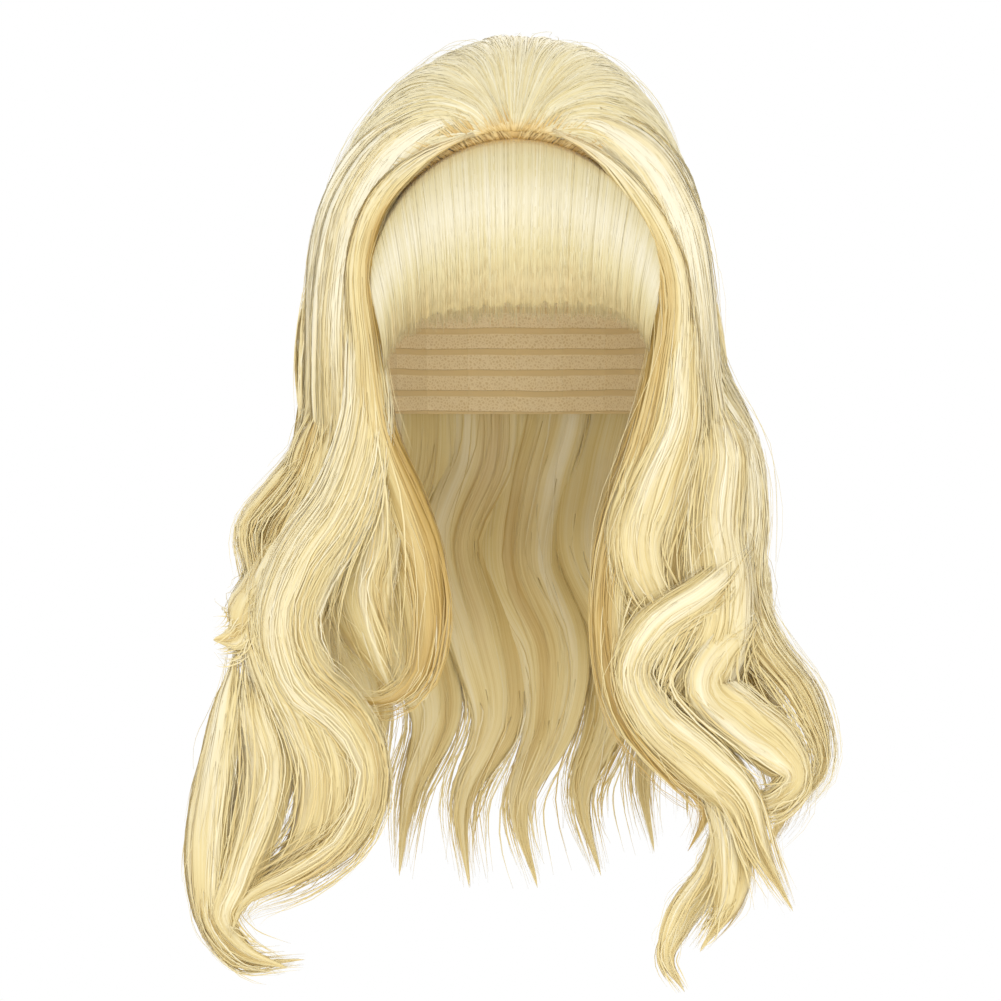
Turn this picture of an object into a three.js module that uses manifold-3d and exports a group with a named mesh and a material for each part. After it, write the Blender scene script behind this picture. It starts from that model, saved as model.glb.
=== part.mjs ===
// A long blonde beehive wig: a cap that fits the head, a padded crown mound combed back from a
// headband line, a straight fringe over the forehead, and waved locks that fall at both sides and
// down the back. Millimetres, +Z up. The origin is the top of the cap's hollow, where the wig sits
// on the head. The face looks along -Y, and -X is the left of somebody who looks at the wig.
import * as THREE from "three";
import { mergeVertices } from "three/addons/utils/BufferGeometryUtils.js";
import Module from "manifold-3d";

const wasm = await Module();
wasm.setup();

// The head inside the cap
const HEAD_WIDTH = 156;
const HEAD_DEPTH = 196;
const HEAD_CROWN_HEIGHT = 105; // from the head's widest level up to its top
const HEAD_TAPER_HEIGHT = 230; // how slowly the hollow narrows below that level

// The cap and the edge that runs round it, as depths below the top of the head
const CAP_WALL = 1.6;
const CAP_FOREHEAD_DROP = 50;
const CAP_EAR_TAB_DROP = 100;
const CAP_EAR_ARCH_DROP = 76;
const CAP_NAPE_DROP = 148;

// The beehive mound over the cap
const MOUND_HALF_WIDTH = 100;
const MOUND_RISE = 49; // above the top of the head
const MOUND_LEVEL = 84; // its widest level, below the top of the head
const MOUND_SETBACK = 28; // its centre, behind the middle of the head
const MOUND_REACH_FRONT = 100;
const MOUND_REACH_BACK = 96;
const MOUND_SKIRT_HEIGHT = 190; // how slowly it narrows below its widest level
const MOUND_HEM_DROP = 138;
const MOUND_SHIFT = -4; // the photographed hair sits a little to the left
const MOUND_TOP_LEAN = 8; // and its top leans a little to the right
const COMB_FOLDS = 11;
const COMB_FOLD_DEPTH = 1.2;

// The headband line, where the fringe leaves the crown
const HAIRLINE_FORWARD = 52;
const HAIRLINE_TOP_DROP = 5;
const HAIRLINE_HALF_WIDTH = 80;
const HAIRLINE_HEIGHT = 84;
const HAIRLINE_SWEEP = 80; // degrees to each side of the middle

// The fringe
const FRINGE_TIP_DROP = 94;
const FRINGE_TIP_TILT = 5; // lower on the left, higher on the right
const FRINGE_SIDE_TIP_DROP = 121;
const FRINGE_TIP_FORWARD = 104;
const FRINGE_SIDE_TIP_FORWARD = 62;
const FRINGE_SIDE_HALF_WIDTH = 70;
const FRINGE_ROOT_THICKNESS = 5;
const FRINGE_TIP_THICKNESS = 2.2;
const FRINGE_BULGE = 11; // how far it stands forward of its tips
const FRINGE_STRIPS = 12;
const FRINGE_STRIP_DEPTH = 0.7;
const FRINGE_JAG = 3; // how far the strips' tips step up and down

// The locks: lengths that their tables are shares of
const FALL_SPAN = 156; // sideways
const FALL_DEPTH = 100; // front to back
const FALL_DROP = 520; // down from the top of the head
const LOCK_WIDTH = 42;
const LOCK_THICKNESS = 20;
const LOCK_SINK = 0.1; // how much of a lock's thickness lies in the mound where it rests on it

// The locks of the back
const BACK_LOCKS = 10;
const BACK_SWEEP = 80; // degrees to each side of straight back
const BACK_TOP_DROP = 46;
const BACK_TOP_STAGGER = 12; // how unevenly the locks come out of the mound
const BACK_DROP = 400;
const BACK_SIDE_DROP = 335;
const BACK_SPREAD = 8; // how far the row of locks widens on its way down
const BACK_WAVE = 11;
const BACK_WAVE_LENGTH = 150;
const BACK_LOCK_WIDTH = 52;
const BACK_LOCK_THICKNESS = 16;
const BACK_LOCK_SINK = 0.25; // how much of a back lock's thickness lies in the mound

const GAP = 0.3; // between pieces that rest on each other

// How finely the curves are cut into flat faces
const CROWN_SEGMENTS = 40;
const CROWN_RINGS = 16;
const CAP_SEGMENTS = 24;
const CAP_RINGS = 12;
const LOCK_SIDES = 6;
const BACK_LOCK_BENDS = 8;
const FRINGE_COLUMNS = 36;
const FRINGE_ROWS = 6;

const COLUMNS = ["side", "deep", "drop", "wide", "thick"];
// One row for each bend of a lock, from root to tip. Side, deep and drop are shares of the fall's
// span, depth and drop, and wide and thick are shares of a lock's width and thickness.
const LEFT_LOCKS = {
  temple: [
    [-0.14, -0.58, 0.006, 0.22, 0.25],
    [-0.3, -0.6, 0.028, 0.28, 0.3],
    [-0.45, -0.6, 0.07, 0.34, 0.4],
    [-0.52, -0.56, 0.13, 0.42, 0.6],
    [-0.5, -0.54, 0.22, 0.5, 0.8],
    [-0.46, -0.52, 0.302, 0.6, 0.9],
    [-0.39, -0.54, 0.372, 0.7, 1],
    [-0.33, -0.6, 0.432, 0.75, 1],
    [-0.3, -0.66, 0.495, 0.7, 1],
    [-0.34, -0.72, 0.552, 0.55, 0.8],
    [-0.45, -0.74, 0.573, 0.4, 0.6],
    [-0.58, -0.7, 0.56, 0.12, 0.2],
  ],
  top_sweep: [
    [-0.03, -0.5, 0.002, 0.12, 0.2],
    [-0.24, -0.47, -0.006, 0.4, 0.3],
    [-0.42, -0.42, 0.03, 0.8, 0.4],
    [-0.53, -0.4, 0.09, 1, 0.5],
    [-0.57, -0.36, 0.17, 1, 0.6],
    [-0.57, -0.34, 0.25, 1, 0.8],
    [-0.56, -0.36, 0.33, 1, 0.9],
    [-0.6, -0.42, 0.4, 1, 1],
    [-0.68, -0.5, 0.47, 0.9, 0.9],
    [-0.74, -0.58, 0.53, 0.5, 0.6],
  ],
  outer_sweep: [
    [-0.28, -0.38, -0.02, 0.15, 0.2],
    [-0.44, -0.3, 0.004, 0.5, 0.3],
    [-0.56, -0.2, 0.055, 0.8, 0.4],
    [-0.61, -0.12, 0.105, 0.9, 0.5],
    [-0.62, -0.08, 0.16, 1, 0.5],
    [-0.63, -0.04, 0.23, 1, 0.6],
    [-0.64, -0.04, 0.29, 1, 0.7],
    [-0.72, -0.1, 0.335, 0.8, 0.8],
    [-0.82, -0.18, 0.365, 0.65, 0.8],
    [-0.88, -0.26, 0.405, 0.5, 0.7],
    [-0.87, -0.32, 0.455, 0.4, 0.6],
    [-0.95, -0.36, 0.49, 0.1, 0.2],
  ],
  front_wave: [
    [-0.53, -0.46, 0.09, 0.3, 0.4],
    [-0.5, -0.5, 0.2, 0.5, 0.7],
    [-0.5, -0.52, 0.29, 0.7, 0.9],
    [-0.58, -0.56, 0.375, 0.9, 1],
    [-0.7, -0.6, 0.43, 1, 1],
    [-0.77, -0.66, 0.5, 1, 1],
    [-0.7, -0.74, 0.567, 1, 1],
    [-0.57, -0.82, 0.6, 0.85, 1],
    [-0.49, -0.88, 0.645, 0.6, 1],
    [-0.56, -0.92, 0.705, 0.7, 1],
    [-0.72, -0.94, 0.74, 0.75, 0.9],
    [-0.9, -0.94, 0.77, 0.5, 0.6],
    [-0.95, -0.92, 0.81, 0.1, 0.2],
  ],
  mid_wave: [
    [-0.48, -0.42, 0.25, 0.6, 0.8],
    [-0.47, -0.46, 0.34, 0.8, 1],
    [-0.5, -0.52, 0.41, 1, 1],
    [-0.53, -0.58, 0.465, 1, 1],
    [-0.48, -0.66, 0.52, 0.9, 1],
    [-0.42, -0.7, 0.56, 0.4, 0.5],
  ],
  shadow_wave: [
    [-0.62, -0.2, 0.25, 0.9, 1],
    [-0.66, -0.24, 0.34, 1, 1.1],
    [-0.76, -0.32, 0.41, 1, 1.2],
    [-0.82, -0.42, 0.48, 1, 1.1],
    [-0.8, -0.52, 0.54, 1, 1.1],
    [-0.72, -0.64, 0.6, 0.9, 1],
    [-0.64, -0.72, 0.66, 0.6, 0.7],
  ],
  inner_wave: [
    [-0.84, -0.44, 0.43, 0.4, 0.6],
    [-0.84, -0.54, 0.5, 0.7, 0.9],
    [-0.78, -0.66, 0.55, 0.9, 0.9],
    [-0.7, -0.74, 0.6, 0.9, 0.9],
    [-0.64, -0.8, 0.65, 0.9, 1],
    [-0.66, -0.84, 0.697, 0.9, 1],
    [-0.76, -0.86, 0.735, 0.8, 0.9],
    [-0.9, -0.86, 0.76, 0.4, 0.5],
  ],
  low_curl: [
    [-0.9, -0.46, 0.53, 0.4, 0.6],
    [-0.87, -0.58, 0.59, 0.7, 0.8],
    [-0.84, -0.68, 0.64, 0.9, 0.8],
    [-0.88, -0.76, 0.695, 1, 0.8],
    [-0.94, -0.82, 0.745, 0.9, 0.8],
    [-0.98, -0.84, 0.79, 0.7, 0.7],
    [-0.9, -0.86, 0.822, 0.5, 0.5],
    [-0.76, -0.86, 0.838, 0.15, 0.2],
  ],
  edge_strand: [
    [-0.93, -0.44, 0.52, 0.3, 0.4],
    [-0.97, -0.54, 0.59, 0.6, 0.4],
    [-1.01, -0.66, 0.66, 0.75, 0.4],
    [-1.03, -0.74, 0.73, 0.75, 0.4],
    [-1.01, -0.8, 0.79, 0.5, 0.4],
    [-0.92, -0.82, 0.83, 0.3, 0.4],
    [-0.7, -0.82, 0.83, 0.08, 0.15],
  ],
  rear_wave: [
    [-0.59, 0.12, 0.07, 0.4, 0.25],
    [-0.62, 0.16, 0.2, 1, 0.6],
    [-0.62, 0.16, 0.29, 1.1, 0.9],
    [-0.68, 0.1, 0.37, 1.1, 1],
    [-0.77, 0, 0.45, 1.1, 1.1],
    [-0.8, -0.12, 0.53, 1, 1],
    [-0.76, -0.24, 0.6, 0.9, 0.9],
    [-0.8, -0.34, 0.67, 0.7, 0.8],
    [-0.9, -0.42, 0.72, 0.2, 0.3],
  ],
};

const RIGHT_LOCKS = {
  temple: [
    [0.12, -0.6, 0.002, 0.22, 0.25],
    [0.29, -0.6, 0.03, 0.3, 0.3],
    [0.43, -0.58, 0.08, 0.45, 0.4],
    [0.52, -0.54, 0.15, 0.6, 0.7],
    [0.51, -0.52, 0.235, 0.7, 0.9],
    [0.45, -0.52, 0.32, 0.7, 1],
    [0.37, -0.56, 0.385, 0.6, 1],
    [0.32, -0.64, 0.45, 0.5, 0.9],
    [0.32, -0.7, 0.52, 0.5, 0.9],
    [0.39, -0.78, 0.59, 0.6, 0.9],
    [0.53, -0.86, 0.643, 0.6, 0.8],
    [0.63, -0.9, 0.68, 0.4, 0.6],
    [0.57, -0.92, 0.722, 0.1, 0.2],
  ],
  top_sweep: [
    [0.03, -0.5, 0.002, 0.12, 0.2],
    [0.24, -0.47, -0.006, 0.4, 0.3],
    [0.43, -0.42, 0.03, 0.8, 0.4],
    [0.54, -0.4, 0.09, 1, 0.5],
    [0.59, -0.36, 0.17, 1, 0.6],
    [0.6, -0.34, 0.25, 1, 0.8],
    [0.6, -0.36, 0.33, 1, 1],
    [0.56, -0.44, 0.395, 1, 1],
    [0.53, -0.54, 0.45, 1, 1],
    [0.6, -0.62, 0.5, 0.9, 0.9],
    [0.7, -0.66, 0.53, 0.4, 0.5],
  ],
  outer_sweep: [
    [0.28, -0.38, -0.02, 0.15, 0.2],
    [0.43, -0.3, 0.004, 0.5, 0.3],
    [0.54, -0.2, 0.055, 0.8, 0.4],
    [0.59, -0.12, 0.105, 0.9, 0.5],
    [0.61, -0.08, 0.17, 1, 0.6],
    [0.64, -0.04, 0.25, 1, 0.7],
    [0.72, -0.06, 0.32, 0.9, 0.8],
    [0.77, -0.12, 0.39, 0.9, 0.9],
    [0.77, -0.22, 0.46, 0.9, 1],
    [0.83, -0.34, 0.53, 0.9, 0.9],
    [0.97, -0.48, 0.58, 0.6, 0.7],
    [1.02, -0.58, 0.64, 0.4, 0.6],
    [0.9, -0.66, 0.685, 0.1, 0.2],
  ],
  front_wave: [
    [0.56, -0.46, 0.14, 0.4, 0.6],
    [0.55, -0.48, 0.23, 0.6, 0.9],
    [0.53, -0.5, 0.3, 0.8, 1],
    [0.45, -0.56, 0.365, 0.9, 1],
    [0.4, -0.64, 0.415, 0.8, 1],
    [0.45, -0.7, 0.462, 0.8, 1],
    [0.58, -0.72, 0.5, 0.6, 0.7],
    [0.7, -0.7, 0.52, 0.12, 0.2],
  ],
  mid_wave: [
    [0.66, -0.24, 0.26, 0.9, 0.9],
    [0.68, -0.3, 0.33, 1, 1.1],
    [0.66, -0.38, 0.4, 1, 1.1],
    [0.68, -0.48, 0.46, 1, 1.1],
    [0.66, -0.6, 0.52, 1, 1],
    [0.56, -0.7, 0.57, 0.9, 0.9],
    [0.46, -0.76, 0.61, 0.4, 0.5],
  ],
  loop: [
    [0.74, -0.46, 0.44, 0.5, 0.7],
    [0.6, -0.6, 0.475, 0.65, 0.8],
    [0.46, -0.7, 0.505, 0.65, 0.9],
    [0.39, -0.76, 0.545, 0.6, 0.9],
    [0.46, -0.82, 0.59, 0.7, 1],
    [0.61, -0.88, 0.63, 0.75, 1],
    [0.74, -0.9, 0.67, 0.7, 0.9],
    [0.81, -0.9, 0.72, 0.55, 0.7],
    [0.92, -0.88, 0.782, 0.1, 0.2],
  ],
  outer_loop: [
    [0.78, -0.5, 0.5, 0.5, 0.7],
    [0.68, -0.64, 0.53, 0.6, 0.7],
    [0.64, -0.72, 0.56, 0.7, 0.8],
    [0.74, -0.76, 0.59, 0.8, 0.9],
    [0.86, -0.78, 0.62, 0.8, 0.9],
    [0.92, -0.8, 0.65, 0.6, 0.7],
    [0.84, -0.82, 0.675, 0.5, 0.6],
    [0.72, -0.84, 0.675, 0.2, 0.3],
  ],
  low_tail: [
    [0.6, -0.78, 0.61, 0.5, 0.7],
    [0.68, -0.84, 0.66, 0.6, 0.8],
    [0.72, -0.88, 0.72, 0.6, 0.7],
    [0.7, -0.9, 0.775, 0.45, 0.6],
    [0.61, -0.9, 0.822, 0.1, 0.2],
  ],
  low_wisp: [
    [0.72, -0.78, 0.68, 0.5, 0.6],
    [0.66, -0.82, 0.74, 0.5, 0.6],
    [0.54, -0.82, 0.79, 0.4, 0.5],
    [0.5, -0.82, 0.83, 0.25, 0.3],
    [0.56, -0.82, 0.862, 0.08, 0.15],
  ],
  rear_wave: [
    [0.57, 0.12, 0.07, 0.4, 0.25],
    [0.6, 0.16, 0.2, 1, 0.6],
    [0.62, 0.16, 0.29, 1.1, 0.9],
    [0.67, 0.1, 0.37, 1.1, 1],
    [0.76, 0, 0.45, 1.1, 1.1],
    [0.76, -0.12, 0.53, 1, 1],
    [0.8, -0.26, 0.6, 0.9, 0.9],
    [0.86, -0.38, 0.67, 0.7, 0.8],
    [0.8, -0.46, 0.72, 0.2, 0.3],
  ],
};

const degrees = THREE.MathUtils.degToRad;
const blendBetween = THREE.MathUtils.lerp;
const smoothBetween = THREE.MathUtils.smoothstep;

// A closed geometry as a solid that can be joined and cut.
function solidFrom(geometry) {
  const bare = geometry.clone();
  bare.deleteAttribute("normal");
  bare.deleteAttribute("uv");
  const merged = mergeVertices(bare, 1e-4);
  const solid = new wasm.Manifold(
    new wasm.Mesh({
      numProp: 3,
      vertProperties: merged.getAttribute("position").array,
      triVerts: new Uint32Array(merged.index.array),
    }),
  );
  return solid;
}

// The largest body of a solid: cuts between neighbours can leave crumbs beside it.
function mainBody(solid) {
  const bodies = solid.decompose();
  return bodies.reduce((best, body) => (body.volume() > best.volume() ? body : best));
}

function geometryFrom(solid) {
  const { vertProperties, triVerts } = solid.getMesh();
  const geometry = new THREE.BufferGeometry();
  geometry.setAttribute("position", new THREE.BufferAttribute(vertProperties, 3));
  geometry.setIndex(new THREE.BufferAttribute(triVerts, 1));
  return geometry;
}

// A rounded body round a centre: |x|^plan + |y|^plan is its outline from above, and rise its profile.
class RoundedBody {
  constructor({ centre, halfWidth, front, back, up, down, plan, rise, lean = 0 }) {
    Object.assign(this, { centre, halfWidth, front, back, up, down, plan, rise, lean });
  }

  grown(extra) {
    const { halfWidth, front, back, up, down } = this;
    const bigger = { halfWidth, front, back, up, down };
    for (const key of Object.keys(bigger)) bigger[key] += extra;
    return new RoundedBody({ ...this, ...bigger });
  }

  // How far a direction lies out of the body's unit surface.
  level(direction) {
    const deep = direction.y < 0 ? this.front : this.back;
    const tall = direction.z < 0 ? this.down : this.up;
    const plan =
      Math.abs(direction.x / this.halfWidth) ** this.plan + Math.abs(direction.y / deep) ** this.plan;
    return (plan ** (this.rise / this.plan) + Math.abs(direction.z / tall) ** this.rise) ** (1 / this.rise);
  }

  leanAt(height) {
    return height > 0 ? this.lean * (height / this.up) ** 2 : 0;
  }

  // How far it reaches from its upright middle line in a level direction, and no less lower down.
  reach(direction, height) {
    const deep = direction.y < 0 ? this.front : this.back;
    const plan =
      Math.abs(direction.x / this.halfWidth) ** this.plan + Math.abs(direction.y / deep) ** this.plan;
    const above = Math.max(height - this.centre.z, 0) / this.up;
    return (1 - above ** this.rise) ** (1 / this.rise) / plan ** (1 / this.plan);
  }

  surface(direction) {
    const point = direction.clone().divideScalar(this.level(direction));
    point.x += this.leanAt(point.z);
    return point.add(this.centre);
  }

  // Moves a point that lies inside the body out to its surface.
  pushedOut(point) {
    const from = point.clone().sub(this.centre);
    from.x -= this.leanAt(from.z);
    return this.level(from) < 1 ? this.surface(from) : point.clone();
  }

  outward(point) {
    const from = point.clone().sub(this.centre);
    const deep = from.y < 0 ? this.front : this.back;
    const tall = from.z < 0 ? this.down : this.up;
    return new THREE.Vector3(
      from.x / this.halfWidth ** 2,
      from.y / deep ** 2,
      from.z / tall ** 2,
    ).normalize();
  }

  // The body as a solid, with its poles on the line that the hair is combed along, and shallow folds.
  solid({ segments, rings, poles = new THREE.Vector3(0, 0, 1), folds = 0, foldDepth = 0 }) {
    const ball = new THREE.SphereGeometry(1, segments, rings);
    const turn = new THREE.Quaternion().setFromUnitVectors(new THREE.Vector3(0, 1, 0), poles);
    ball.applyQuaternion(turn);
    const places = ball.getAttribute("position");
    const round = ball.getAttribute("uv");
    for (let i = 0; i < places.count; i += 1) {
      const direction = new THREE.Vector3().fromBufferAttribute(places, i).normalize();
      const fromPole = Math.sin(Math.PI * round.getY(i));
      const fold = Math.sin(2 * Math.PI * folds * round.getX(i));
      const point = this.surface(direction);
      point.addScaledVector(direction, foldDepth * fold * fromPole ** 2);
      places.setXYZ(i, point.x, point.y, point.z);
    }
    return solidFrom(ball);
  }
}

const head = new RoundedBody({
  centre: new THREE.Vector3(0, 0, -HEAD_CROWN_HEIGHT),
  halfWidth: HEAD_WIDTH / 2,
  front: HEAD_DEPTH / 2,
  back: HEAD_DEPTH / 2,
  up: HEAD_CROWN_HEIGHT,
  down: HEAD_TAPER_HEIGHT,
  plan: 2.2,
  rise: 2,
});

const mound = new RoundedBody({
  centre: new THREE.Vector3(MOUND_SHIFT, MOUND_SETBACK, -MOUND_LEVEL),
  halfWidth: MOUND_HALF_WIDTH,
  front: MOUND_REACH_FRONT,
  back: MOUND_REACH_BACK,
  up: MOUND_LEVEL + MOUND_RISE,
  down: MOUND_SKIRT_HEIGHT,
  plan: 2.5,
  rise: 2.1,
  lean: MOUND_TOP_LEAN,
});

// A side view's outline, as [forward, drop] corners, pushed through the whole width of the hair.
function sideViewSolid(corners) {
  const outline = new THREE.Shape(corners.map(([forward, drop]) => new THREE.Vector2(-forward, -drop)));
  const width = 4 * MOUND_HALF_WIDTH;
  const slab = new THREE.ExtrudeGeometry(outline, { depth: width, bevelEnabled: false });
  slab.translate(0, 0, -width / 2);
  // The outline's own axes become front-to-back and up, and its thickness runs sideways.
  slab.applyMatrix4(
    new THREE.Matrix4().makeBasis(
      new THREE.Vector3(0, 1, 0),
      new THREE.Vector3(0, 0, 1),
      new THREE.Vector3(1, 0, 0),
    ),
  );
  return solidFrom(slab);
}

const FAR = 2 * FALL_DROP; // well past the hair on every side

// The edge of the cap seen from the side, from the forehead round the ears to the nape. Forward is a
// share of the head's depth.
const CAP_EDGE = [
  [0.36, CAP_FOREHEAD_DROP],
  [0.25, CAP_EAR_TAB_DROP],
  [0.14, CAP_EAR_TAB_DROP],
  [0.06, CAP_EAR_ARCH_DROP],
  [-0.1, CAP_EAR_ARCH_DROP],
  [-0.24, CAP_NAPE_DROP],
];

function capSolid() {
  const outer = head.grown(CAP_WALL).solid({ segments: CAP_SEGMENTS, rings: CAP_RINGS });
  const inner = head.solid({ segments: CAP_SEGMENTS, rings: CAP_RINGS });
  const belowEdge = sideViewSolid([
    [FAR, CAP_FOREHEAD_DROP],
    ...CAP_EDGE.map(([forward, drop]) => [forward * HEAD_DEPTH, drop]),
    [-FAR, CAP_NAPE_DROP],
    [-FAR, FAR],
    [FAR, FAR],
  ]);
  return outer.subtract(inner).subtract(belowEdge);
}

// The room that the head and the cap take, for what lies over them.
function headRoom() {
  return head.grown(CAP_WALL + GAP).solid({ segments: CAP_SEGMENTS, rings: CAP_RINGS });
}

function crownSolid(extra = 0) {
  const combLine = new THREE.Vector3(0, -0.85, 0.53).normalize();
  const whole = mound.grown(extra).solid({
    segments: CROWN_SEGMENTS,
    rings: CROWN_RINGS,
    poles: combLine,
    folds: COMB_FOLDS,
    foldDepth: COMB_FOLD_DEPTH,
  });
  const front = HAIRLINE_FORWARD + extra;
  const hem = MOUND_HEM_DROP + extra;
  const kept = sideViewSolid([
    [front, -FAR],
    [front, MOUND_LEVEL * 1.2],
    [MOUND_REACH_FRONT * 0.1, hem],
    [-FAR, hem],
    [-FAR, -FAR],
  ]);
  return whole.intersect(kept).subtract(headRoom());
}

// A closed sheet over a grid of u and v from 0 to 1: place(u, v, side) is on its outer face at side 1
// and on its inner face at side 0.
function sheetSolid(columns, rows, place) {
  const corners = [];
  for (const side of [1, 0])
    for (let j = 0; j <= rows; j += 1)
      for (let i = 0; i <= columns; i += 1) corners.push(...place(i / columns, j / rows, side).toArray());
  const perFace = (columns + 1) * (rows + 1);
  const at = (i, j, inner) => inner * perFace + j * (columns + 1) + i;
  const faces = [];
  const quad = (a, b, c, d) => faces.push(a, b, c, a, c, d);
  for (let j = 0; j < rows; j += 1)
    for (let i = 0; i < columns; i += 1) {
      quad(at(i, j, 0), at(i, j + 1, 0), at(i + 1, j + 1, 0), at(i + 1, j, 0));
      quad(at(i, j, 1), at(i + 1, j, 1), at(i + 1, j + 1, 1), at(i, j + 1, 1));
    }
  for (let i = 0; i < columns; i += 1) {
    quad(at(i, 0, 0), at(i + 1, 0, 0), at(i + 1, 0, 1), at(i, 0, 1));
    quad(at(i, rows, 1), at(i + 1, rows, 1), at(i + 1, rows, 0), at(i, rows, 0));
  }
  for (let j = 0; j < rows; j += 1) {
    quad(at(0, j, 1), at(0, j + 1, 1), at(0, j + 1, 0), at(0, j, 0));
    quad(at(columns, j, 0), at(columns, j + 1, 0), at(columns, j + 1, 1), at(columns, j, 1));
  }
  const geometry = new THREE.BufferGeometry();
  geometry.setAttribute("position", new THREE.Float32BufferAttribute(corners, 3));
  geometry.setIndex(faces);
  return solidFrom(geometry);
}

// A point on the headband line, swept from one temple over the head to the other.
function hairlinePoint(sweep) {
  const angle = degrees(HAIRLINE_SWEEP) * sweep;
  return new THREE.Vector3(
    HAIRLINE_HALF_WIDTH * Math.sin(angle),
    -HAIRLINE_FORWARD - GAP,
    -HAIRLINE_TOP_DROP - HAIRLINE_HEIGHT * (1 - Math.cos(angle)),
  );
}

// The curve of one strip of the fringe, from the headband line over the forehead to its tip.
function fringeCurve(sweep) {
  const root = hairlinePoint(sweep);
  const sideShare = Math.abs(sweep) ** 3;
  const middle = Math.cos(degrees(HAIRLINE_SWEEP) * sweep) ** 0.8;
  const tip = new THREE.Vector3(
    FRINGE_SIDE_HALF_WIDTH * Math.sin(degrees(HAIRLINE_SWEEP) * sweep),
    -blendBetween(FRINGE_TIP_FORWARD, FRINGE_SIDE_TIP_FORWARD, Math.abs(sweep) ** 2.4),
    -blendBetween(FRINGE_TIP_DROP, FRINGE_SIDE_TIP_DROP, sideShare) + FRINGE_TIP_TILT * sweep,
  );
  const height = root.z - tip.z;
  const leave = root.clone().add(new THREE.Vector3(0, -0.18 * HEAD_DEPTH * middle, -0.1 * height));
  const arrive = tip.clone().add(new THREE.Vector3(0, -FRINGE_BULGE * middle, 0.42 * height));
  return new THREE.CubicBezierCurve3(root, leave, arrive, tip);
}

function fringeSolid(extra = 0) {
  const place = (u, v, side) => {
    const sweep = 2 * u - 1;
    const curve = fringeCurve(sweep);
    const point = curve.getPoint(v);
    const outward = new THREE.Vector3(
      point.x / HAIRLINE_HALF_WIDTH ** 2,
      point.y / FRINGE_TIP_FORWARD ** 2,
      (point.z + HEAD_CROWN_HEIGHT) / HEAD_CROWN_HEIGHT ** 2,
    ).normalize();
    const thickness = blendBetween(FRINGE_ROOT_THICKNESS, FRINGE_TIP_THICKNESS, v);
    const strip = FRINGE_STRIP_DEPTH * Math.cos(2 * Math.PI * FRINGE_STRIPS * u) * v;
    point.z -= FRINGE_JAG * Math.cos(2 * Math.PI * FRINGE_STRIPS * u) * v ** 4;
    point.add(new THREE.Vector3(extra * sweep, 0, -2 * extra * v));
    return point.addScaledVector(outward, side ? strip + extra : -thickness - extra);
  };
  return sheetSolid(FRINGE_COLUMNS, FRINGE_ROWS, place);
}

// The way that a lock's broad side faces: out of the mound beside it, and for a lock in front of the
// shoulders, below the mound, forward and away from the neck.
function lockOutward(place, infront) {
  const beside = mound.outward(place.clone().setZ(Math.max(place.z, mound.centre.z)));
  if (!infront) return beside;
  const forward = new THREE.Vector3(place.x, place.y - 0.6 * FALL_DEPTH, 0).normalize();
  const below = smoothBetween(-place.z, MOUND_LEVEL, MOUND_HEM_DROP * 1.2);
  return beside.lerp(forward, below).normalize();
}

// One lock as a solid: oval sections along a smooth curve through its bends.
function lockSolid(bends, { infront, extra = 0 }) {
  const sections = bends.length;
  const curve = new THREE.CatmullRomCurve3(
    bends.map((bend) => bend.place),
    false,
    "centripetal",
  );
  const rings = [];
  for (let j = 0; j <= sections; j += 1) {
    const along = j / sections;
    const place = curve.getPoint(along);
    const tangent = curve.getTangent(along);
    const outward = lockOutward(place, infront);
    outward.addScaledVector(tangent, -outward.dot(tangent)).normalize();
    const across = new THREE.Vector3().crossVectors(outward, tangent);
    const step = along * (bends.length - 1);
    const from = Math.min(Math.floor(step), bends.length - 2);
    const wide = blendBetween(bends[from].wide, bends[from + 1].wide, step - from) / 2 + extra;
    const thick = blendBetween(bends[from].thick, bends[from + 1].thick, step - from) / 2 + extra;
    const ring = [];
    for (let i = 0; i < LOCK_SIDES; i += 1) {
      const angle = (2 * Math.PI * i) / LOCK_SIDES;
      const corner = place.clone().addScaledVector(across, wide * Math.cos(angle));
      ring.push(corner.addScaledVector(outward, thick * Math.sin(angle)));
    }
    rings.push(ring);
  }
  return solidFrom(loftGeometry(rings));
}

// Rings of points, one after the other along a way, joined into one closed skin.
function loftGeometry(rings) {
  const sides = rings[0].length;
  const corners = rings.flat().flatMap((point) => point.toArray());
  const sumOf = (ring) => ring.reduce((sum, point) => sum.add(point), new THREE.Vector3());
  const middleOf = (ring) => sumOf(ring).divideScalar(sides);
  corners.push(...middleOf(rings[0]).toArray(), ...middleOf(rings[rings.length - 1]).toArray());
  const start = rings.length * sides;
  const end = start + 1;
  const faces = [];
  for (let i = 0; i < sides; i += 1) {
    const next = (i + 1) % sides;
    for (let j = 0; j < rings.length - 1; j += 1) {
      const [a, b] = [j * sides + i, j * sides + next];
      const [c, d] = [b + sides, a + sides];
      faces.push(a, b, c, a, c, d);
    }
    faces.push(start, next, i);
    faces.push(end, start - sides + i, start - sides + next);
  }
  const geometry = new THREE.BufferGeometry();
  geometry.setAttribute("position", new THREE.Float32BufferAttribute(corners, 3));
  geometry.setIndex(faces);
  return geometry;
}

// A table's rows as places and sizes. A bend that would lie in the mound lies on it.
function bendsOf(rows) {
  return rows.map((row) => {
    const bend = Object.fromEntries(COLUMNS.map((name, i) => [name, row[i]]));
    const place = new THREE.Vector3(bend.side * FALL_SPAN, bend.deep * FALL_DEPTH, -bend.drop * FALL_DROP);
    return {
      place: mound.grown(bend.thick * LOCK_THICKNESS * (0.5 - LOCK_SINK)).pushedOut(place),
      wide: bend.wide * LOCK_WIDTH,
      thick: bend.thick * LOCK_THICKNESS,
    };
  });
}

function sideFallSolid(table, extra = 0) {
  const locks = Object.values(table).map((rows) => lockSolid(bendsOf(rows), { infront: true, extra }));
  return wasm.Manifold.union(locks);
}

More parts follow.
